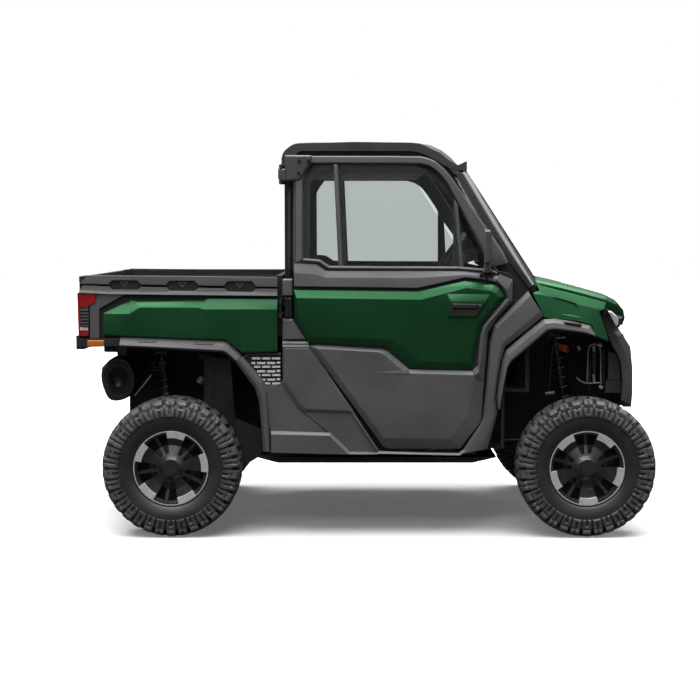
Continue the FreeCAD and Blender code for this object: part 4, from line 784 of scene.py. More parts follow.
bedPanel = {
    "edge": 737, "face": 757, "back": 733, "railFace": 759, "stripBack": 742, "stripFace": 764,
    "railStart": 84.7,
    "upperNotches": [(108.6, 284.5), (112.1, 280.5), (137.3, 280.5), (141.6, 284.5), (166.1, 285.1),
        (169.6, 280.9), (194.9, 280.9), (198.8, 285.5), (224.1, 286.0), (227.8, 281.3), (252.4, 281.3),
        (256.3, 286.5)],
    "lowerNotches": [(109.0, 286.6), (112.1, 289.6), (137.3, 289.9), (141.6, 286.9), (166.5, 287.4),
        (169.6, 290.7), (194.9, 291.0), (198.8, 287.8), (224.3, 288.4), (227.8, 291.6), (252.4, 292.1),
        (256.3, 288.7)],
    "top": [(103.5, 313.0), (130.3, 300.2), (134.5, 300.2), (204.0, 300.6), (208.2, 298.2), (240, 298.5),
        (277.4, 298.8)],
    "fold": [(103.6, 313.6), (129.6, 313.9), (139.5, 307.6), (198.4, 307.6), (202.6, 309.4), (240, 309.4),
        (277.4, 309.4)],
    "foot": [(102.2, 334.0), (129.0, 335.8), (140, 336.2), (205, 338.7), (225.0, 339.2), (241.6, 352.0),
        (277.4, 350.6)],
    "hem": [(103.4, 335.6), (129.0, 336.9), (140, 337.3), (205, 339.7), (226.5, 340.5), (242.3, 353.4),
        (277.4, 352.0)],
    "frameTop": [(89.6, 304.8), (96.4, 300.2), (96.7, 293.6), (125.4, 294.2)],
    "frameFoot": [(89.6, 338.4), (98.8, 338.4), (98.9, 309.0), (101.0, 307.6)],
    "stripTop": [(119.8, 337.0), (150, 337.9), (224.3, 340.6), (229.6, 343.0), (241.3, 355.0)],
    "stripFoot": [(118.6, 345.2), (150, 346.6), (222.5, 350.4), (227.0, 352.4), (236.4, 361.0)],
    "stripHem": [(118.6, 346.6), (150, 348.2), (222.0, 352.4), (226.0, 354.4), (235.4, 362.2)],
}


def makeBedPanels():
    edge, face, back = bedPanel["edge"], bedPanel["face"], bedPanel["back"]
    top = line(edge, *bedPanel["top"])
    fold = line(face, *bedPanel["fold"])
    foot = line(face, *bedPanel["foot"])
    hem = line(face - 7, *bedPanel["hem"])
    side = panel("bedSideSkins", bothSides(bandPanel([top, fold, foot, hem], back)), greenPaint, "bed",
        "body_green")
    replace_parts(side, "bed_sides")
    rail = bedPanel["railFace"]
    # rail edges that rise or fall evenly, with a spot over each notch
    upperNotches, lowerNotches = bedPanel["upperNotches"], bedPanel["lowerNotches"]

    def even(notches, row, fall):
        return [(column, row + (column - bedPanel["railStart"]) * fall) for column, _ in notches]

    upperTop = line(rail - 1, (84.7, 275.3), *even(upperNotches, 275.3, 0.0099), (277.4, 277.2))
    upperFold = line(rail, (85.4, 278.2), *even(upperNotches, 278.2, 0.0075), (277.4, 279.6))
    upperFoot = line(rail, (79.6, 283.6), *upperNotches, (277.4, 286.9))
    lowerTop = line(rail - 4, (83.6, 285.2), *lowerNotches, (277.4, 288.9))
    lowerFold = line(rail - 2, (80.0, 290.0), *even(lowerNotches, 291.4, 0.0065), (277.4, 292.6))
    lowerFoot = line(rail + 4, (78.4, 292.8), *even(lowerNotches, 294.0, 0.0105), (277.4, 296.0))
    frameTop = line(752, *bedPanel["frameTop"])
    frameFoot = line(752, *bedPanel["frameFoot"])
    stripTop = line(bedPanel["stripBack"], *bedPanel["stripTop"])
    stripFoot = line(bedPanel["stripFace"], *bedPanel["stripFoot"])
    stripHem = line(bedPanel["stripBack"], *bedPanel["stripHem"])
    shapes = [
        bandPanel([upperTop, upperFold, upperFoot], back), bandPanel([lowerTop, lowerFold, lowerFoot], back),
        bandPanel([frameTop, frameFoot], back), bandPanel([stripTop, stripFoot, stripHem], 725)]
    trim = panel("bedRails", bothSides(*shapes), mouldedGrey, "bed", "moulded_grey")
    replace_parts(trim, "bed_trim")
    floors = [
        bandPanel([line(748, (left, 279.6), (left + 35, 280)), line(748, (left, 292.4), (left + 35, 293))],
            733)
        for left in (107.6, 165.2, 223.2)]
    sill = bandPanel([line(752, (77.9, 338.9), (119.6, 338.9)), line(752, (77.9, 347.4), (119.6, 346.2))],
        700)
    hook = bandPanel([line(750, (78.0, 344), (82.6, 344)), line(750, (79.6, 349.0), (82.0, 348.6))], 700)
    panel("bedBlackTrim", bothSides(*floors, sill, hook), blackPlastic, "bed", "black_plastic")
    marks = []
    for left, row in ((120.2, 281.8), (178.0, 282.2), (235.6, 282.7)):
        corners = np.array([(left, row), (left + 9.0, row), (left + 4.5, row + 5.2)])
        inner = corners.mean(0) + 0.62 * (corners - corners.mean(0))
        marks.append(bandPanel([line(750.4, *corners, corners[0]), line(750.4, *inner, inner[0])], 746))
    panel("railMarks", bothSides(*marks), ventSilver, "bed", "vent_silver", 0.0004)
    slots = [
        bandPanel([line(751, (left, row), (left + 21.5, row + 0.3)),
            line(756, (left + 2.6, row + 2.6), (left + 19.0, row + 2.9))], 740)
        for left, row in ((135.8, 339.6), (192.6, 341.8))]
    panel("stripSlots", bothSides(*slots), darkGrey, "bed", "moulded_grey", 0.0006)
    lens = ringPanel([
        line(753, (86.6, 340.1), (103.6, 340.1), (103.6, 346.6), (86.6, 346.6)),
        line(757, (87.4, 340.8), (102.8, 340.8), (102.8, 345.9), (87.4, 345.9))], 748)
    panel("sideMarkers", bothSides(lens), orangeLens, "bed", "lamp_red", 0.0012)


makeBedPanels()


lowerPanel = {
    "rearFlareOuter": [(241.9, 355.6), (263.4, 380.2), (268.2, 390.2), (270.4, 425), (271.4, 452.0)],
    "rearFlareInner": [(235.4, 362.4), (254.6, 388.6), (258.4, 400.5), (261.0, 428), (262.6, 452.0)],
    "cowlOuter": [(528.2, 291.2), (510, 309.4), (494.8, 324.8), (490.4, 342.6), (487.6, 378),
        (484.3, 412.0), (482.8, 421.6), (461.0, 454.4)],
    "cowlInner": [(544.0, 316.0), (527, 330.0), (505.6, 347.0), (501.2, 361.4), (498.4, 380),
        (496.2, 398.0), (498.6, 412.4), (488.4, 449.4)],
    "frontFlareOuter": [(595.4, 333.0), (591.0, 325.6), (573, 321.4), (554.8, 318.6), (544.2, 319.2),
        (525, 334.6), (506.6, 350.6), (503.0, 361.6), (500.0, 380), (497.4, 398.4), (498.6, 408.4)],
    "frontFlareInner": [(596.4, 336.2), (586.0, 333.2), (573, 331.4), (554.8, 329.2), (547.8, 330.6),
        (530, 346.0), (511.6, 361.6), (508.2, 368.2), (505.0, 384), (502.2, 400.4), (500.8, 410.2)],
}


def makeLowerPanels():
    # rear flare: a band that turns down behind the wheel
    outer = line(744, *lowerPanel["rearFlareOuter"])
    inner = line(764, *lowerPanel["rearFlareInner"])
    flare = bandPanel([outer, between(outer, inner, 0.34, 780), between(outer, inner, 0.72, 781), inner], 738)
    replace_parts(panel("rearFlareBands", bothSides(flare), mouldedGrey, "chassis", "moulded_grey"),
        "rear_flares")

    # side panel: a face over a dark downward crease, a lower face, and a sill step with a bright ledge
    upper = ringPanel([
        line(755, (282.4, 346.4), (309.6, 346.4), (356.4, 415.0), (303.0, 413.4), (296.2, 409.2),
            (280.0, 384.4), (282.6, 379.6)),
        line(771, (284.0, 348.4), (308.6, 348.4), (351.8, 411.0), (307.0, 409.0), (301.2, 405.4),
            (285.0, 381.6), (284.6, 378.8))], 735)
    ledge = bandPanel([
        line(750, (282.4, 341.0), (307.8, 341.2)), line(760, (282.4, 343.4), (308.4, 343.6)),
        line(758, (282.4, 344.8), (308.8, 345.0)), line(768, (282.6, 346.8), (309.2, 347.0))], 735)
    lower = bandPanel([
        line(759, (263.6, 386.6), (280.6, 383.6), (297.4, 408.4), (303.2, 412.4), (354.6, 413.4)),
        line(759, (270.4, 431.4), (300, 432.4), (330.0, 433.2), (349.0, 451.6), (379.4, 451.0))], 735)
    sill = bandPanel([
        line(756, (270.3, 430.2), (300, 431.0), (330.8, 432.0), (350.6, 451.0), (378.0, 451.4)),
        line(772, (270.5, 434.4), (300, 435.0), (329.2, 435.8), (348.2, 454.0), (378.0, 454.2)),
        line(772, (270.5, 452.6), (300, 453.4), (329.2, 454.2), (347.0, 454.6), (378.0, 454.8))], 735)
    ledgeUnder = bandPanel([
        line(757, (377.0, 451.2), (420, 452.4), (459.5, 453.2), (464.4, 449.6)),
        line(766, (377.0, 453.6), (420, 454.6), (461.0, 455.4), (466.6, 451.2))], 740)
    rim = bandPanel([
        line(764, (309.4, 346.4), (344.0, 399.6), (378.2, 449.8)),
        line(771, (310.2, 348.6), (343.4, 400.6), (377.0, 450.2))], 748)
    cover = ringPanel([
        line(748, (282.2, 279.2), (284.4, 278.6), (292.8, 278.8), (292.8, 295.8), (282.2, 296.2)),
        line(754, (283.6, 281.0), (285.0, 280.2), (291.4, 280.4), (291.6, 294.8), (283.6, 295.0))], 725)
    guard = ringPanel([
        line(748, (282.2, 318.6), (292.6, 318.8), (306.6, 339.6), (282.2, 340.4)),
        line(757, (283.6, 320.4), (292.2, 320.6), (303.6, 338.4), (283.6, 338.8))], 725)
    shapes = bothSides(upper, ledge, lower, sill, ledgeUnder, rim, cover, guard)
    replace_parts(panel("sidePanels", shapes, mouldedGrey, "chassis", "moulded_grey"), "side_panels")

    # cowl: a broad band that widens towards its foot
    outer = line(750, *lowerPanel["cowlOuter"])
    inner = line(764, *lowerPanel["cowlInner"])
    cowl = bandPanel([outer, between(outer, inner, 0.16, 765), between(outer, inner, 0.80, 773), inner], 735)
    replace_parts(panel("cowlPanels", bothSides(cowl), mouldedGrey, "chassis", "moulded_grey", 0.003),
        "cowl_panels")

    # front flare: its upper edge leans in, so that it shows light
    outer = line(766, *lowerPanel["frontFlareOuter"])
    inner = line(794, *lowerPanel["frontFlareInner"])
    flare = bandPanel([outer, between(outer, inner, 0.40, 791), between(outer, inner, 0.86, 797), inner], 715)
    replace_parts(panel("frontFlareBands", bothSides(flare), mouldedGrey, "chassis", "moulded_grey", 0.003),
        "front_flares")
    pocket = ringPanel([
        line(780, (564.2, 321.6), (582.6, 324.2), (582.0, 327.0), (567.4, 325.0)),
        line(795, (564.8, 322.1), (582.0, 324.7), (581.4, 326.5), (567.8, 324.6))], 760)
    panel("flareReflectors", bothSides(pocket), reflectorDark, "chassis", "lamp_red", 0.0005)


makeLowerPanels()
print("bed and lower panels are made")

# doors

door = {
    "back": 716, "baseFace": 751, "skinEdge": 757, "skinFace": 776, "cladFace": 768, "railLean": 0.1222,
    "beltZ": 1.330,
    "rim": [(294.0, 262.8), (303.4, 258.4), (320.0, 259.6), (330.0, 266.0), (459, 266.8), (490, 269.0),
        (509.0, 272.9), (513.0, 277.8), (512.8, 300.4), (496.6, 319.6), (488.4, 332.4), (484.6, 383.4),
        (482.2, 421.6), (461.4, 448.8), (388.0, 448.8), (383.2, 447.0), (308.6, 344.4), (294.0, 319.4)],
    "beltTop": [(294.2, 262.9), (316.2, 263.8), (325.8, 270.4), (381, 270.4), (417.5, 270.3),
        (465.3, 270.6), (482, 272.4), (500, 276.0)],
    "beltFold": [(294.2, 272.6), (316.2, 274.6), (325.8, 277.7), (381, 278.0), (417.5, 278.0),
        (465.3, 274.8), (482, 276.2), (498.6, 279.6)],
    "beltFoot": [(294.2, 286.4), (316.2, 286.6), (325.8, 286.8), (381, 287.4), (417.5, 288.0),
        (465.3, 277.4), (482, 279.0), (497.4, 282.0)],
    "ledgeTop": [(303.2, 258.2), (320.0, 259.4), (329.8, 265.8), (381, 266.2), (458.4, 266.5),
        (489.0, 269.0), (497, 271.4)],
    "ledgeFace": [(303.4, 259.6), (319.6, 260.8), (329.2, 267.2), (381, 267.6), (458.4, 267.9),
        (489.0, 270.4), (497, 272.8)],
    "ledgeFoot": [(303.6, 261.2), (319.0, 262.4), (328.6, 268.8), (381, 269.2), (458.4, 269.5),
        (489.0, 272.0), (497, 274.4)],
    "lowerOuter": [(309.4, 346.0), (317.4, 344.8), (381.8, 349.0), (388.2, 351.4), (409.6, 369.0),
        (473.4, 370.5), (478.6, 366.0), (484.5, 384.0), (482.0, 421.4), (461.2, 448.6), (388.2, 448.6),
        (383.6, 446.4)],
    "lowerInner": [(318.4, 349.0), (322.8, 348.8), (378.6, 352.2), (383.2, 353.8), (406.9, 373.4),
        (473.6, 375.2), (475.6, 373.6), (474.2, 384.0), (467.8, 416.8), (450.4, 438.6), (385.2, 437.8),
        (382.0, 434.8)],
    "lip": [(473.2, 370.2), (478.0, 366.0), (480.6, 335.7), (483.4, 326.0), (507.2, 297.2), (501.4, 285.4),
        (494.6, 282.4)],
    "ridge": [(475.8, 375.4), (479.8, 371.6), (484.0, 334.0), (487.2, 325.4), (509.4, 300.0),
        (507.2, 290.6), (496.4, 279.6)],
    "skirt": [(474.2, 384.0), (484.5, 384.0), (488.2, 333.2), (496.2, 320.0), (512.4, 301.6),
        (512.8, 279.6), (500.0, 274.4)],
    "skinOuter": [(293.8, 289.6), (418.3, 291.2), (465.3, 280.4), (494.4, 284.2), (500.2, 286.6),
        (505.4, 296.6), (482.0, 325.2), (478.8, 335.6), (473.4, 369.6), (410.4, 368.4), (387.2, 346.9),
        (308.6, 343.0), (294.2, 318.7)],
    "skinInner": [(296.4, 298.0), (421.4, 299.6), (466.4, 288.0), (491.8, 291.0), (495.4, 293.4),
        (499.0, 298.0), (478.4, 322.8), (475.0, 335.0), (470.2, 362.6), (423.0, 361.8), (392.8, 339.6),
        (311.0, 336.6), (299.0, 316.4)],
}


def leaning(z):
    # the window frame's distance from the middle: it leans in above the belt
    return 0.750 - door["railLean"] * (z - door["beltZ"])


def railLoft(outer, inner, profile, drop=0.0):
    # a profile of (share across, depth) carried between two lines of (x, z), with closed ends
    outer, inner = np.asarray(outer, float), np.asarray(inner, float)
    share, depth = np.asarray(profile, float).T
    flat = outer[:, None] + share[None, :, None] * (inner - outer)[:, None]
    y = -(leaning(flat[..., 1]) + depth[None, :] - drop)
    count = len(share)
    last = (len(outer) - 1) * count
    points = np.stack([flat[..., 0], y, flat[..., 1]], -1)
    return points, gridFaces(len(outer), count, False, True) + [list(range(count)),
        list(range(last, last + count))]


doorLines = {
    "frameOuter": [(-0.356, 1.345), (-0.356, 1.845), (-0.345, 1.875), (-0.320, 1.888), (-0.137, 1.888),
        (0.093, 1.888), (0.262, 1.886), (0.303, 1.878), (0.337, 1.863), (0.380, 1.828), (0.420, 1.782),
        (0.523, 1.631), (0.610, 1.510), (0.672, 1.418), (0.700, 1.360)],
    "frameInner": [(-0.312, 1.345), (-0.312, 1.764), (-0.298, 1.800), (-0.271, 1.848), (-0.137, 1.8475),
        (0.093, 1.847), (0.270, 1.845), (0.309, 1.834), (0.342, 1.813), (0.374, 1.781), (0.404, 1.738),
        (0.475, 1.600), (0.548, 1.462), (0.585, 1.385), (0.600, 1.335)],
    "trimInner": [(-0.281, 1.335), (-0.281, 1.742), (-0.262, 1.775), (-0.234, 1.811), (-0.137, 1.811),
        (0.093, 1.811), (0.245, 1.811), (0.290, 1.799), (0.325, 1.775), (0.360, 1.742), (0.392, 1.700),
        (0.458, 1.610), (0.536, 1.507), (0.592, 1.413), (0.642, 1.335)],
}
frameProfile = [(0, -0.034), (0, -0.010), (0.13, -0.001), (0.86, -0.001), (1, -0.010), (1, -0.034)]
trimProfile = [(0, -0.046), (0, -0.037), (1, -0.037), (1, -0.046)]


def makeDoor(side):
    body = f"door_{side}"
    tag = side.capitalize()
    back, face = door["back"], door["cladFace"]

    def add(name, shapes, material, slotName, rounding=0.002):
        return panel(name + tag, joinedShapes([onSide(shape, side) for shape in shapes]), material, body,
            slotName, rounding)

    # the black core shows in every gap round the panels
    rim = line(door["baseFace"], *door["rim"])
    core = add("doorCore", [ringPanel([rim], back)], blackPlastic, "black_plastic")
    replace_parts(core, f"door_{side}")

    # belt: a ledge over a bright lean and an upright band
    beltTop = line(750, *door["beltTop"])
    beltFold = line(766, *door["beltFold"])
    beltFoot = line(769, *door["beltFoot"])
    ledgeTop = line(748, *door["ledgeTop"])
    ledgeFace = line(758, *door["ledgeFace"])
    ledgeFoot = line(757, *door["ledgeFoot"])
    # lower clad: bright lean under the green, flat face, wide dark leans to the sill and the cowl
    lowerOuter = line(752, *door["lowerOuter"])
    lowerInner = line(face, *door["lowerInner"])
    lower = ringPanel([lowerOuter, lowerInner], back)
    crease = bandPanel([
        line(face + 0.3, (365.2, 411.2), (411.0, 412.2), (416.4, 415.2), (432.0, 435.2)),
        line(face - 6, (367.0, 415.2), (409.6, 416.4), (413.6, 418.8), (431.6, 435.6))], face - 12)
    spear = bandPanel([
        line(face, (375.4, 372.2), (394, 371.0), (409.0, 369.8)),
        line((face + 0.5, face + 2.5, face + 3.5), (375.6, 373.0), (394, 373.8), (410.4, 374.0))], face - 8)
    # frame to the right of the green: a thin bright lip, then a wide dark lean
    lip = line(761, *door["lip"])
    ridge = line(772, *door["ridge"])
    skirt = line(752, *door["skirt"])
    frameBand = bandPanel([lip, ridge, skirt], back)
    add("doorClad", [
        bandPanel([beltTop, beltFold, beltFoot], back), bandPanel([ledgeTop, ledgeFace, ledgeFoot], back),
        lower, crease, spear, frameBand],
        mouldedGrey, "moulded_grey")

    # green skin with a bright lean on top and dark leans below
    skinOuter = line(door["skinEdge"], *door["skinOuter"])
    skinInner = line(door["skinFace"], *door["skinInner"])
    skin = ringPanel([skinOuter, skinInner], door["baseFace"] - 4)
    housing = ringPanel([
        line(door["skinFace"] - 1, (446.6, 293.2), (490.6, 293.8), (486.2, 303.4), (477.6, 318.4),
            (446.2, 318.0)),
        line(door["skinFace"] + 11, (451.0, 301.6), (486.4, 301.8), (484.0, 304.6), (475.8, 316.4),
            (449.8, 316.2))], door["skinFace"] - 12)
    skin = add("doorSkin", [skin, housing], greenPaint, "body_green", 0.0026)
    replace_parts(skin, f"door_skin_{side}")
    pocket = ringPanel([
        line(door["skinFace"] + 11.6, (451.8, 302.6), (485.4, 302.8), (483.2, 305.2), (475.2, 315.4),
            (450.8, 315.2)),
        line(door["skinFace"] + 11.2, (452.8, 303.6), (483.6, 303.8), (481.6, 306.0), (474.4, 314.4),
            (451.8, 314.2))], door["skinFace"] + 4)
    grip = ringPanel([
        line(door["skinFace"] + 12, (452.2, 303.4), (479.4, 303.8), (477.6, 309.4), (452.0, 309.0)),
        line(door["skinFace"] + 20, (453.2, 304.4), (478.4, 304.8), (476.4, 308.2), (453.0, 307.8))],
        door["skinFace"] + 6)
    add("doorHandle", [pocket, grip], blackPlastic, "black_plastic", 0.0012)
    centre = atPixel([(480.4, 305.3, door["skinFace"] + 12)])[0]
    lock = lathe([(-0.009, 0.0005), (0.002, 0.0005), (0.002, 0.0062), (0.0006, 0.0078), (-0.009, 0.0078)],
        centre, 32)
    add("doorLock", [lock], brightMetal, "vent_silver", 0.0006)

    # window frame, its two bars, the hinge plate, and the black trim inside
    bars = [
        railLoft([(-0.139, 1.330), (-0.165, 1.846)], [(-0.115, 1.330), (-0.141, 1.846)], frameProfile, 0.002),
        railLoft([(0.455, 1.330), (0.430, 1.676)], [(0.479, 1.330), (0.452, 1.646)], frameProfile, 0.002)]
    plate = ringPanel([
        line(700, (285.2, 155.0), (311.8, 155.2), (312.0, 161.6), (299.8, 180.2), (285.2, 180.8)),
        line(706, (286.4, 156.2), (310.8, 156.4), (310.8, 161.0), (299.2, 179.2), (286.4, 179.8))], 668)
    ear = ringPanel([
        line(702, (278.6, 168.6), (286.4, 168.6), (286.4, 181.0), (281.6, 181.0), (278.6, 178.6)),
        line(708, (279.6, 169.6), (285.6, 169.6), (285.6, 180.2), (282.0, 180.2), (279.6, 178.0))], 676)
    rails = railLoft(doorLines["frameOuter"], doorLines["frameInner"], frameProfile)
    add("doorWindowFrame", [rails] + bars + [plate, ear], frameGrey, "moulded_grey", 0.003)
    bolts = []
    for column, row in ((299.8, 161.2), (308.8, 161.2), (299.2, 173.4)):
        centre = atPixel([(column, row, 707)])[0]
        bolts.append(lathe([(-0.004, 0.0005), (0.003, 0.0005), (0.003, 0.0065), (0.0018, 0.0085),
            (-0.004, 0.0085)], centre, 24))
    for row in (299.4, 303.2, 307.0, 310.8, 314.4):
        centre = atPixel([(287.2, row, 757)])[0]
        bolts.append(lathe([(-0.012, 0.0005), (0.002, 0.0005), (0.002, 0.006), (-0.001, 0.0085),
            (-0.012, 0.0085)], centre, 24))
    add("doorBolts", bolts, springBlack, "black_plastic", 0.0006)
    leaf = ringPanel([
        line(744, (284.0, 297.0), (292.4, 297.0), (292.8, 318.0), (284.0, 318.0)),
        line(752, (285.0, 298.2), (291.2, 298.2), (291.6, 316.8), (285.0, 316.8))], 724)
    add("doorLowerHinge", [leaf], frameBlack, "frame_steel")
    trims = [
        railLoft(doorLines["frameOuter"][1:-1], doorLines["trimInner"][1:-1], trimProfile),
        railLoft([(-0.340, 1.330), (-0.340, 1.830)], [(-0.281, 1.330), (-0.281, 1.742)], trimProfile),
        railLoft([(-0.115, 1.330), (-0.141, 1.820)], [(-0.097, 1.330), (-0.119, 1.820)], trimProfile),
        railLoft([(0.430, 1.330), (0.426, 1.650)], [(0.478, 1.330), (0.462, 1.600)], trimProfile)]
    add("doorInnerTrim", trims, blackPlastic, "black_plastic", 0.001)


for side in ("right", "left"):
    makeDoor(side)
print("doors are made")

# hood and fenders: sections carried along the vehicle

nose = {
    "hoodX": [0.869, 0.905, 1.000, 1.120, 1.242, 1.300, 1.338, 1.349, 1.336],
    "hoodZ": [1.272, 1.267, 1.246, 1.216, 1.182, 1.154, 1.112, 1.068, 1.028],
    "section": [(0.414, -0.052), (0.416, -0.020), (0.402, -0.004), (0.318, -0.001), (0.292, 0.007),
        (0.150, 0.010), (0.0, 0.011)],
}


def makeHood():
    # rows run along the hood, columns across it; each column keeps its own drop below the ridge line
    x, z = np.array(nose["hoodX"]), np.array(nose["hoodZ"])
    half = np.array(nose["section"])
    across = np.concatenate([half[:, 0], -half[-2::-1, 0]])
    drop = np.concatenate([half[:, 1], half[-2::-1, 1]])
    slope = np.stack([np.gradient(x), np.gradient(z)], 1)
    slope /= np.linalg.norm(slope, axis=1, keepdims=True)
    tuck = 1 - 0.10 * ramp(x, 1.20, 1.35) ** 2 - 0.03 * ramp(-z, -1.15, -1.03)
    top = np.stack([
        x[:, None] - slope[:, 1:] * drop, across * tuck[:, None] + 0 * x[:, None],
        z[:, None] + slope[:, :1] * drop], -1)
    under = np.stack([
        x[:, None] - slope[:, 1:] * (drop - 0.009), across * tuck[:, None] * 0.985,
        z[:, None] + slope[:, :1] * (drop - 0.009)], -1)
    section = np.concatenate([top, under[:, ::-1]], 1)
    rows, columns = section.shape[:2]
    section[..., 0] = np.minimum(section[..., 0], 1.3520)
    ends = [list(range(columns)), list(range((rows - 1) * columns, rows * columns))]
    hood = newPiece("hoodShell", section, gridFaces(rows, columns, False, True) + ends, greenPaint, "hood",
        "body_green", 24)
    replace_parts(roundEdges(hood, 0.003, 3, 12), "hood")


makeHood()


fender = {
    "foot": [(545.1, 317.5), (560, 318.9), (579.1, 321.2), (592.4, 324.8), (597.0, 336.0), (609.6, 340.8)],
    "waist": [(532.6, 293.0), (552, 297.0), (571, 303.0), (586, 306.0), (596.0, 308.8), (599.6, 311.0)],
    "fold": [(539.6, 290.4), (556, 294.6), (572, 299.0), (586, 302.8), (597.0, 306.2), (604.6, 308.6)],
    "ridge": [(536.6, 284.2), (556, 289.6), (572, 293.6), (586, 297.2), (597.0, 300.2), (606.2, 302.6)],
    "crest": [(536.8, 284.4), (556, 289.6), (572, 293.6), (586, 297.2), (597.0, 300.2), (606.4, 302.6)],
    "inner": [(540.0, 285.2), (556, 289.8), (572, 293.6), (586, 297.2), (597.0, 300.4), (606.6, 303.4)],
}


def makeFenders():
    foot = line(766, *fender["foot"])
    waist = line(747, *fender["waist"])
    fold = line(738, *fender["fold"])
    ridge = line(724, *fender["ridge"])
    crest = line(716, *fender["crest"])
    inner = line(424, *fender["inner"])
    points, faces = bandPanel([inner, crest, ridge, fold, waist, foot], 424)
    # the inner skin follows the outer one
    points[1, :, :, 1] = np.minimum(points[0, :, :, 1] + 0.024, -0.400)
    points[1, :, :, 2] = points[0, :, :, 2] - 0.010
    crease = bandPanel([
        line(754, (553.8, 296.6), (566, 299.6), (576.2, 303.2), (580.4, 312.2)),
        line(748.5, (555.0, 298.6), (566, 301.8), (574.6, 305.2), (579.6, 312.8))], 744)
    spear = bandPanel([
        line(762, (561.8, 314.2), (572, 314.6), (583.4, 317.8)),
        line((764, 768, 764), (562.0, 314.8), (574, 317.6), (583.2, 318.4))], 748)
    fenders = panel("fenderShells", bothSides((points, faces), crease, spear), greenPaint, "chassis",
        "body_green", 0.003)
    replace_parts(fenders, "front_fenders")


makeFenders()

# pillars, roof line and mirrors


def makePillars():
    def reach(rows):
        return [712 + (row - 283) * 0.42 for row in rows]
    rows = (172.4, 197, 228.0, 262.6, 288.4)
    inner = line(reach(rows), (454.6, rows[0]), (468.6, rows[1]), (486.6, rows[2]), (509.4, rows[3]),
        (529.6, rows[4]))
    rows = (173.0, 197, 225.0, 262.0, 284.0)
    outer = line(reach(rows), (467.4, rows[0]), (481.4, rows[1]), (498.2, rows[2]), (521.0, rows[3]),
        (534.6, rows[4]))
    depth = inner[:, 2:] * [[0, 0, 1]]
    # bands across the pillar: how far across it, and how far in from its widest place
    lines = [between(inner, outer, share, 0) * [1, 1, 0] + depth - [0, 0, back]
             for share, back in ((0.0, 10), (0.42, 1), (0.47, 8), (0.51, 3), (0.66, 0), (0.88, 6), (1.0, 30))]
    panel("pillarCovers", bothSides(bandPanel(lines[:3], 575)), frameGrey, "chassis", "moulded_grey", 0.0015)
    # the strips take a paler grey than the covers: their metal with a painted highlight
    panel("pillarStrips", bothSides(bandPanel(lines[3:], 570)), pillarSilver, "chassis", "moulded_grey",
        0.0015)
    # the black corner under the pillar, and a black strip over the door where the roof's shadow falls:
    # painted shadow
    corner = ringPanel([line(690, (497.0, 236.0), (505.0, 250.0), (537.0, 291.0), (528.4, 293.0),
        (512.0, 310.0), (505.0, 300.0), (503.0, 272.0), (496.0, 268.0))], 600)
    # lining: a black strip that stands for the roof's shadow over the door, a painted shadow
    lining = bandPanel([
        line(640, (292, 158), (300, 152), (380, 152), (425, 152), (438, 156), (450, 168), (458, 184),
            (470, 206), (481, 232), (487, 262)),
        line(626, (292, 170), (300, 158.5), (380, 158.5), (412, 162), (428, 174), (439, 188.5), (448, 202),
            (457, 218), (471, 238), (482, 256))], 600)
    panel("cabCornerTrim", bothSides(corner, lining), blackPlastic, "chassis", "black_plastic")
    # door jamb behind the gap between door and cowl
    jamb = bandPanel([
        line(712, (505.0, 300.0), (488.0, 318.0), (480.0, 340.0), (476.0, 380.0), (474.0, 420.0),
            (456.0, 446.0)),
        line(712, (518.0, 300.0), (504.0, 330.0), (496.0, 350.0), (492.0, 385.0), (490.0, 425.0),
            (474.0, 450.0))], 690)
    panel("doorJambs", bothSides(jamb), blackPlastic, "chassis", "black_plastic")
    headliner = prism([(-0.395, 1.842), (0.30, 1.842), (0.30, 1.812), (-0.36, 1.812)], -0.575, 0.575)
    panel("headliner", headliner, blackPlastic, "chassis", "black_plastic")


makePillars()


def makeMirror(side):
    shell = ringPanel([
        line(845, (485.2, 229.4), (490.6, 230.2), (491.4, 232.6), (491.2, 261.0), (489.6, 262.8),
            (485.0, 262.8)),
        line(905, (484.0, 229.2), (490.4, 229.8), (491.2, 232.0), (491.0, 262.2), (489.4, 264.4),
            (484.0, 264.4)),
        line(936, (484.6, 231.0), (489.6, 231.6), (490.2, 233.6), (490.0, 260.6), (488.6, 262.4),
            (484.6, 262.4))], 778)
    stalk = ringPanel([
        line(768, (484.6, 262.0), (490.4, 262.0), (491.0, 268.6), (494.8, 273.4), (482.0, 273.4),
            (484.2, 268.6)),
        line(790, (485.4, 262.0), (489.6, 262.0), (490.2, 267.8), (493.4, 272.2), (483.2, 272.2),
            (485.2, 267.8))], 740)
    points, faces = joinedShapes([onSide(shell, side), onSide(stalk, side)])
    piece = panel(f"mirror{side.capitalize()}", (points, faces), frameGrey, f"door_{side}", "moulded_grey",
        0.003)
    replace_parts(piece, f"mirror_{side}")
    bolts = [
        lathe([(-0.006, 0.0005), (0.006, 0.0005), (0.006, 0.008), (0.003, 0.010), (-0.006, 0.010)],
            atPixel([(c, r, 770)])[0], 20)
        for c, r in ((481.4, 275.4), (486.8, 277.2), (492.0, 275.6))]
    panel(f"mirrorBolts{side.capitalize()}", joinedShapes([onSide(b, side) for b in bolts]), springBlack,
        f"door_{side}", "black_plastic", 0.0006)


for side in ("right", "left"):
    makeMirror(side)
print("hood, fenders, pillars and mirrors are made")

# lamps, vents, exhaust and what shows in the wheel arches


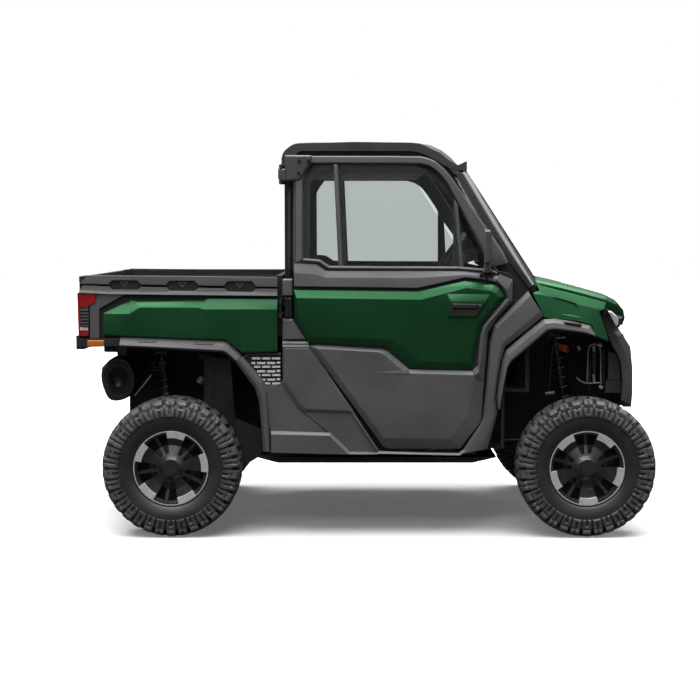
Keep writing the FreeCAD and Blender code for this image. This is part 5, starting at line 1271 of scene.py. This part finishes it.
def makeLamps():
    slats = []
    for row in (309.2, 312.4, 315.6, 318.8, 322.0, 325.0):
        slats.append(bandPanel([line(758, (80.6, row), (88.2, row)),
            line(761.5, (80.6, row + 1.4), (88.2, row + 1.4))], 750))
    well = bandPanel([line(757.6, (79.8, 307.8), (88.8, 307.8)), line(757.6, (80.0, 326.6), (88.6, 326.6))],
        752)
    panel("tailLampSlats", bothSides(well, *slats), blackPlastic, "bed", "black_plastic", 0.0005)
    bar = bandPanel([line(757.6, (79.4, 327.6), (87.8, 327.6)), line(759.5, (79.6, 330.4), (87.8, 330.4))],
        752)
    panel("tailLampBars", bothSides(bar), lampClear, "bed", "lamp_clear", 0.0008)


def makeVents():
    bricks = []
    for row in range(7):
        top = 357.2 + row * 4.15
        start, stop = 248.6 + row * 2.35, 280.2
        edges = np.arange(stop - (5.0 if row % 2 else 0.0), start - 10, -10.0)
        for right in list(edges) + ([stop] if row % 2 else []):
            length = 4.0 if right == stop and row % 2 else 8.8
            left = max(right - length, start)
            if right - left > 2.0:
                lift = 0.5 if (int(right) // 5) % 2 else 0.0
                bricks.append(bandPanel([
                    line(739, (left, top + lift), (right, top + lift)),
                    line(745, (left + 0.5, top + lift + 2.4), (right, top + lift + 2.4))], 728))
    back = ringPanel([line(735, (243.4, 355.2), (247.6, 352.9), (281.0, 352.9), (281.0, 387.0),
        (263.0, 387.0))], 700)
    frame = bandPanel([
        line(740, (243.0, 356.6), (247.2, 353.2), (281.0, 353.0)),
        line(744, (243.8, 358.0), (248.0, 355.0), (281.0, 354.6))], 730)
    panel("ventBricks", bothSides(*bricks), ventSilver, "chassis", "vent_silver", 0.0008)
    piece = panel("ventBacks", bothSides(back, frame), blackPlastic, "chassis", "black_plastic", 0.001)
    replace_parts(piece, "side_vents")


exhaust = {
    "outline": [(101.4, 367.2), (99.6, 378.5), (104.2, 393.9), (109.0, 400.4), (118.4, 401.2),
        (130.8, 396.0), (134.6, 383.0), (133.8, 372.0), (128.9, 361.4), (122.3, 356.2), (112.1, 356.4)],
    "middle": (118.4, 380.6),
    "steps": [(1.0, 520), (0.97, 552), (0.90, 559), (0.79, 560), (0.76, 552), (0.71, 551), (0.68, 558),
        (0.63, 559), (0.59, 548), (0.54, 540), (0.30, 500), (0.10, 490)],
}


def makeExhaust():
    # rings of the same rounded outline, each smaller, stepping in and out round the outlet
    middle = np.array(exhaust["middle"])
    corners = np.array(exhaust["outline"])
    outline = evenLine(smoothLine(np.concatenate([corners, corners[:1]]), 2), 67)
    outline = outline[:-1]
    rings = [np.column_stack([middle + (outline - middle) * share, np.full(len(outline), reach)])
             for share, reach in exhaust["steps"]]
    shell = newPiece("mufflerShell", *ringPanel(rings, 60), exhaustBlack, "chassis", "exhaust_steel", 34)
    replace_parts(shell, "exhaust")
    bracket = bandPanel([
        line(480, (115.6, 346.4), (121.0, 346.0), (126.4, 346.4)),
        line(486, (116.0, 350.0), (121.0, 353.6), (126.2, 350.4)),
        line(480, (117.0, 356.0), (121.0, 358.4), (125.6, 356.0))], 440)
    newPiece("mufflerBracket", *bracket, castMetal, "chassis", "exhaust_steel", 30)


def flatPiece(name, shapes, material, slotName, rounding=0.002):
    return panel(name, bothSides(*shapes), material, "chassis", slotName, rounding)


def rod(reach, spots, radius):
    # a round bar through spots of the side view
    path = evenLine(smoothLine(atPixel(line(reach, *spots)), 3), 24)
    return tubeAlong(path, radius, 14, (0.02, 1, 0.03))


def makeArches():
    # the first two are black sheets deep inside the front and rear arches, put where there is only shade:
    # painted shade; the third is the rear mud sheet
    sheets = [
        prism([(0.640, 0.430), (1.180, 0.430), (1.320, 0.550), (1.345, 0.600), (1.322, 0.930),
            (1.240, 1.060), (0.860, 1.075), (0.640, 0.900)], 0.250, 0.256),
        prism([(-1.240, 0.560), (-0.560, 0.500), (-0.560, 0.930), (-1.240, 0.948)], 0.300, 0.306)]
    sheets = [(points * np.array([1, -1, 1]), faces) for points, faces in sheets]
    sheets.append(ringPanel([line(612, (234.0, 418.0), (264.0, 430.0), (263.0, 450.6), (258.4, 456.6),
        (240.0, 468.0))], 600))
    flatPiece("archSheets", sheets, blackPlastic, "black_plastic", 0.001)
    liners = [
        bandPanel([line(600, (203.6, 358.0), (206.8, 357.0), (212.0, 357.0), (214.6, 357.6), (230.0, 358.4)),
                   line(600, (203.0, 402.0), (205.8, 403.0), (210.4, 406.0), (213.0, 410.0),
                       (236.0, 436.0))], 590),
        bandPanel([line(604, (204.6, 362.0), (206.4, 362.0)), line(604, (204.0, 398.0), (205.6, 398.0))],
            598),
        bandPanel([line(606, (211.4, 364.0), (214.0, 364.0)), line(606, (210.2, 398.0), (212.8, 398.0))],
            598)]
    flatPiece("rearLiners", liners, archLiner, "black_plastic", 0.001)
    boxes = [
        bandPanel([line(560, (198.4, 353.6), (214.0, 354.6), (219.6, 358.6)),
            line(566, (198.6, 358.6), (213.0, 360.6), (219.0, 361.2))], 500),
        bandPanel([line(520, (609.4, 352.0), (621.0, 353.6)), line(520, (609.2, 379.6), (621.6, 380.0))],
            470),
        bandPanel([line(516, (607.6, 380.0), (622.0, 380.0)), line(516, (606.0, 393.0), (622.6, 393.0))],
            470)]
    flatPiece("archBoxes", boxes, darkGrey, "moulded_grey")
    # the pale finish on these rods and fittings is painted light for the dim arches
    silver = [
        rod(520, [(150.4, 375.0), (146.0, 381.0), (133.6, 395.6)], 0.0035),
        rod(500, [(588.4, 384.0), (588.6, 356.0), (589.4, 346.4), (594.0, 343.6), (599.6, 344.6),
            (601.6, 350.0), (601.8, 372.0), (602.4, 384.0)], 0.0032),
        rod(500, [(577.4, 377.4), (582.0, 381.6), (589.0, 383.8), (601.0, 382.6)], 0.0034),
        rod(495, [(594.4, 346.0), (595.0, 352.0)], 0.007), rod(495, [(594.6, 374.0), (595.4, 382.0)], 0.007),
        rod(495, [(556.6, 338.0), (565.8, 337.4)], 0.0045), rod(505, [(546.4, 393.6), (555.6, 392.4)], 0.008),
        rod(505, [(599.8, 343.6), (602.4, 346.6)], 0.009), rod(505, [(600.4, 386.0), (603.2, 388.4)], 0.009),
        rod(500, [(578.6, 346.0), (580.6, 349.8)], 0.008), rod(470, [(198.6, 383.0), (202.6, 377.4)], 0.018)]
    flatPiece("archFittings", silver, paleFitting, "engine_metal", 0.0005)
    dark = [rod(498, [(594.8, 352.0), (595.2, 374.0)], 0.0105),
        rod(498, [(590.6, 392.0), (591.4, 360.0)], 0.004)]
    dark += [rod(498, [(604.6, 350.0), (605.0, 388.0)], 0.005),
        rod(498, [(553.4, 345.0), (549.6, 392.0)], 0.004)]
    flatPiece("archHoses", dark, springBlack, "black_plastic", 0.0005)


def makeShockColours():
    # a collar round each front shock, and the upper coils of the rear ones
    def ringAt(column, row, reach, radius, thick, lean):
        centre = atPixel([(column, row, reach)])[0]
        turn = np.linspace(0, 2 * math.pi, 40, endpoint=False)
        path = np.stack([radius * np.cos(turn), radius * np.sin(turn), lean * radius * np.cos(turn)],
            -1) + centre
        small = np.linspace(0, 2 * math.pi, 10, endpoint=False)
        outward = np.stack([np.cos(turn), np.sin(turn), 0 * turn], -1)
        points = path[:, None] + thick * (np.cos(small)[None, :, None] * outward[:,
            None] + np.sin(small)[None, :, None] * np.array([0, 0, 1.0]))
        return points, gridFaces(40, 10, True, True)
    collars = [ringAt(563.2, row, 412, 0.030, 0.006, -0.25) for row in (345.4, 347.8, 350.0)]
    flatPiece("shockCollars", collars, orangeAnodised, "damper_metal", 0.0003)
    coils = [ringAt(157.2, row, 380, 0.036, 0.0065, 0.18) for row in (362.4, 366.0, 369.6)]
    flatPiece("springTops", coils, rustBrown, "damper_metal", 0.0003)


makeLamps()
makeVents()
makeExhaust()
makeArches()
makeShockColours()
print("lamps, vents, exhaust and arches are made")

# what stands behind and on the wheel's windows


def makeWheelInsides(end, side, sign):
    facts = wheelTrim[end]
    centre = (facts["axle"], 0, wheelTrim["middleZ"])
    tag = f"{end}{side.capitalize()}"
    face, back, low, high = wheelTrim["drum"]
    face, back = sign * (facts["lip"] - face), sign * (facts["lip"] - back)
    drum = [(face, low), (face, high), (back, high), (back, low)]
    newPiece(tag + "Drum", *lathe(drum, centre, 72), blackPlastic, f"{end}_wheel_{side}", "rim")
    face, back, low, high = wheelTrim["disc"]
    face, back = sign * (facts["lip"] - face), sign * (facts["lip"] - back)
    disc = [(face, low), (face, high), (back, high + 0.002), (back, low)]
    newPiece(tag + "Disc", *lathe(disc, centre, 72), castMetal, f"{end}_wheel_{side}", "rim")
    face, back = sign * facts["cap"], sign * (facts["cap"] - 0.004)
    rings = []
    for low, high in wheelTrim["capRings"]:
        rings.append(lathe([(back, low), (face, low + 0.001), (face, high - 0.001), (back, high)], centre,
            48))
    newPiece(tag + "CapRings", *joinedShapes(rings), rimDark, f"{end}_wheel_{side}", "rim")


for end in ("front", "rear"):
    for side, sign in (("right", -1), ("left", 1)):
        makeWheelInsides(end, side, sign)
print("wheel insides are made")

# roof edge and bed lining


roofEdge = {
    "top": [(281.4, 166), (283.4, 155.6), (289, 147.6), (298, 143.2), (310, 142.4), (418, 143.2),
        (430, 145.2), (441, 150.4), (450, 157.6), (457, 165.0), (461.4, 169.6)],
    "middle": [(281.8, 166), (284.6, 156.6), (290.2, 149.2), (298.8, 145.4), (310, 144.8), (417.4, 145.6),
        (429, 147.8), (439.4, 152.4), (447.6, 159.4), (454.4, 166.8), (458.6, 171.6)],
    "low": [(286.4, 166), (288.4, 159.2), (293.4, 153.0), (300.4, 149.8), (310, 149.2), (416.4, 150.0),
        (427, 152.0), (436.6, 156.6), (444.2, 163.2), (450.6, 170.4), (454.8, 175.4)],
    "under": [(288.0, 166), (289.8, 160.0), (294.6, 154.4), (301.2, 151.2), (310, 150.8), (416.0, 151.6),
        (426, 153.6), (435.2, 158.0), (442.6, 164.6), (448.8, 171.8), (453.0, 176.6)],
}


def makeRoofEdges():
    top = line(606, *roofEdge["top"])
    middle = line(648, *roofEdge["middle"])
    low = line(649, *roofEdge["low"])
    under = line(640, *roofEdge["under"])
    panel("roofEdges", bothSides(bandPanel([top, middle, low], 590)), frameGrey, "chassis", "moulded_grey",
        0.0015)
    panel("roofEdgeLines", bothSides(bandPanel([low, under], 596)), blackPlastic, "chassis",
        "black_plastic", 0.0008)


def makeBedLining():
    sheet = prism([(-1.392, 1.000), (-0.420, 1.000), (-0.420, 1.2965), (-1.392, 1.2965)], 0.700, 0.708)
    ribs = [prism([(x, 1.010), (x + 0.022, 1.010), (x + 0.022, 1.290), (x, 1.290)], 0.690,
        0.704) for x in (-1.25, -0.985, -0.56)]
    post = prism([(-1.416, 1.200), (-1.385, 1.200), (-1.385, 1.2960), (-1.416, 1.2940)], 0.632, 0.748)
    flip = [(points * np.array([1, -1, 1]), faces) for points, faces in [sheet, post] + ribs]
    panel("bedLining", bothSides(*flip), blackPlastic, "bed", "black_plastic", 0.001)


makeRoofEdges()
makeBedLining()
print("roof edge and bed lining are made")

# headlamps, bumper sides and seat pads


def makeHeadlamps():
    lens = ringPanel([
        line(636, (608.0, 310.8), (611.6, 311.0), (616.4, 315.0), (619.2, 320.0), (619.0, 325.8),
            (616.4, 326.8)),
        line(643, (608.8, 311.8), (611.4, 311.9), (615.8, 315.6), (618.4, 320.2), (618.2, 325.2),
            (616.6, 326.0))], 430)
    tip = ringPanel([
        line(632, (617.0, 318.4), (623.4, 317.0), (622.6, 323.4), (619.6, 327.6), (616.8, 327.0)),
        line(638, (617.8, 319.2), (622.6, 318.0), (621.8, 323.0), (619.2, 326.8), (617.6, 326.4))], 436)
    pocket = ringPanel([line(618, (603.0, 308.4), (609.4, 309.4), (612.6, 312.6), (607.0, 317.0),
        (603.0, 315.0))], 440)
    panel("headlampPockets", bothSides(pocket), blackPlastic, "chassis", "black_plastic", 0.001)
    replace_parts(panel("headlampLenses", bothSides(lens), lampClear, "chassis", "lamp_clear", 0.002),
        "headlamps")
    panel("headlampTips", bothSides(tip), blackPlastic, "chassis", "black_plastic", 0.001)


bumperSide = {
    "outer": [(608.4, 310.2), (612.8, 321.0), (617.6, 331.2), (624.2, 333.8), (625.4, 338.6),
        (630.4, 347.4), (632.2, 362.0), (633.4, 380.4), (633.2, 395.0), (632.0, 405.4)],
    "inner": [(600.4, 310.6), (604.4, 322.6), (608.6, 334.6), (611.4, 341.6), (613.6, 346.6),
        (618.4, 354.0), (621.8, 361.6), (623.8, 380.4), (623.4, 394.0), (622.4, 399.8)],
}


def makeBumperSides():
    outer = line(564, *bumperSide["outer"])
    inner = line(566, *bumperSide["inner"])
    fold = between(outer, inner, 0.42, 574)
    panel("bumperSides", bothSides(bandPanel([outer, fold, inner], 535)), frameGrey, "chassis",
        "moulded_grey", 0.002)


makeHeadlamps()
makeBumperSides()

padWork = {
    "voxel": 0.010, "pressure": 4.0, "frames": 20, "flatFoot": 0.020,
    "channelWidth": 0.006, "channelDepth": 0.007, "margin": 0.006,
}
padFacts = {
    "bench_cushion": {"name": "benchCushionPad", "swell": 0.016,
        "channels": [(1, -0.217), (1, 0.217), (0, -0.010)]},
    "bench_back": {"name": "benchBackPad", "swell": 0.016, "channels": [(1, -0.217), (1, 0.217), (2, 1.090)]},
}


def meshPoints(mesh):
    points = np.empty(len(mesh.vertices) * 3, np.float32)
    mesh.vertices.foreach_get("co", points)
    return points.reshape(-1, 3)


def shownMesh(piece):
    return bpy.data.meshes.new_from_object(piece.evaluated_get(bpy.context.evaluated_depsgraph_get()))


def makePad(node, facts):
    # the plain solid, remeshed and blown up as cloth
    # no point goes further than the swell, and the foot stays flat
    mesh = bpy.data.objects[node].data.copy()
    shape = bmesh.new()
    shape.from_mesh(mesh)
    bmesh.ops.remove_doubles(shape, verts=shape.verts, dist=0.00005)
    shape.to_mesh(mesh)
    shape.free()
    points = meshPoints(mesh)
    low, high = points.min(0), points.max(0)
    middle, size = (low + high) / 2, high - low
    points = middle + (points - middle) * (1 - 1.1 * facts["swell"] / size)
    points[:, 2] += low[2] - points[:, 2].min()
    mesh.vertices.foreach_set("co", points.astype(np.float32).ravel())
    pad = bpy.data.objects.new(facts["name"], mesh)
    scene.collection.objects.link(pad)
    remesh = pad.modifiers.new("remesh", "REMESH")
    remesh.mode, remesh.voxel_size = "VOXEL", padWork["voxel"]
    pad.data = shownMesh(pad)
    pad.modifiers.clear()
    start = meshPoints(pad.data)
    cloth = pad.modifiers.new("cloth", "CLOTH")
    cloth.settings.use_pressure = True
    cloth.settings.uniform_pressure_force = padWork["pressure"]
    cloth.settings.effector_weights.gravity = 0.0
    for frameNumber in range(1, padWork["frames"] + 1):
        scene.frame_set(frameNumber)
    moved = meshPoints(shownMesh(pad)) - start
    pad.modifiers.clear()
    scene.frame_set(1)
    reach = np.linalg.norm(moved, axis=1, keepdims=True)
    moved *= np.minimum(1, facts["swell"] / np.maximum(reach, 1e-6))
    foot = start[:, 2] < low[2] + padWork["flatFoot"]
    moved[:, 2] = np.where(foot, np.maximum(moved[:, 2], 0), moved[:, 2])
    pad.data.vertices.foreach_set("co", (start + moved).astype(np.float32).ravel())
    smooth = pad.modifiers.new("smooth", "SUBSURF")
    smooth.levels = smooth.render_levels = 1
    pad.data = shownMesh(pad)
    pad.modifiers.clear()
    # sewn channels: a narrow valley along each line, as deep as the swell allows, and none under the pad
    points = meshPoints(pad.data)
    depth = sum(
        np.exp(-((points[:, axis] - at) / padWork["channelWidth"]) ** 2) for axis, at in facts["channels"])
    inward = middle - points
    inward /= np.linalg.norm(inward, axis=1, keepdims=True)
    depth = padWork["channelDepth"] * np.minimum(depth, 1) * (points[:, 2] > low[2] + 0.025)
    points += inward * depth[:, None]
    points = np.clip(points, low - padWork["margin"], high + padWork["margin"])
    pad.data.vertices.foreach_set("co", points.astype(np.float32).ravel())
    pad.data.materials.clear()
    pad.data.materials.append(benchVinyl)
    pad.data.polygons.foreach_set("use_smooth", [True] * len(pad.data.polygons))
    pad.data.update()
    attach(pad, "chassis")
    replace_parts(pad, node)


for node, facts in padFacts.items():
    makePad(node, facts)
print("headlamps, bumper sides and seat pads are made")
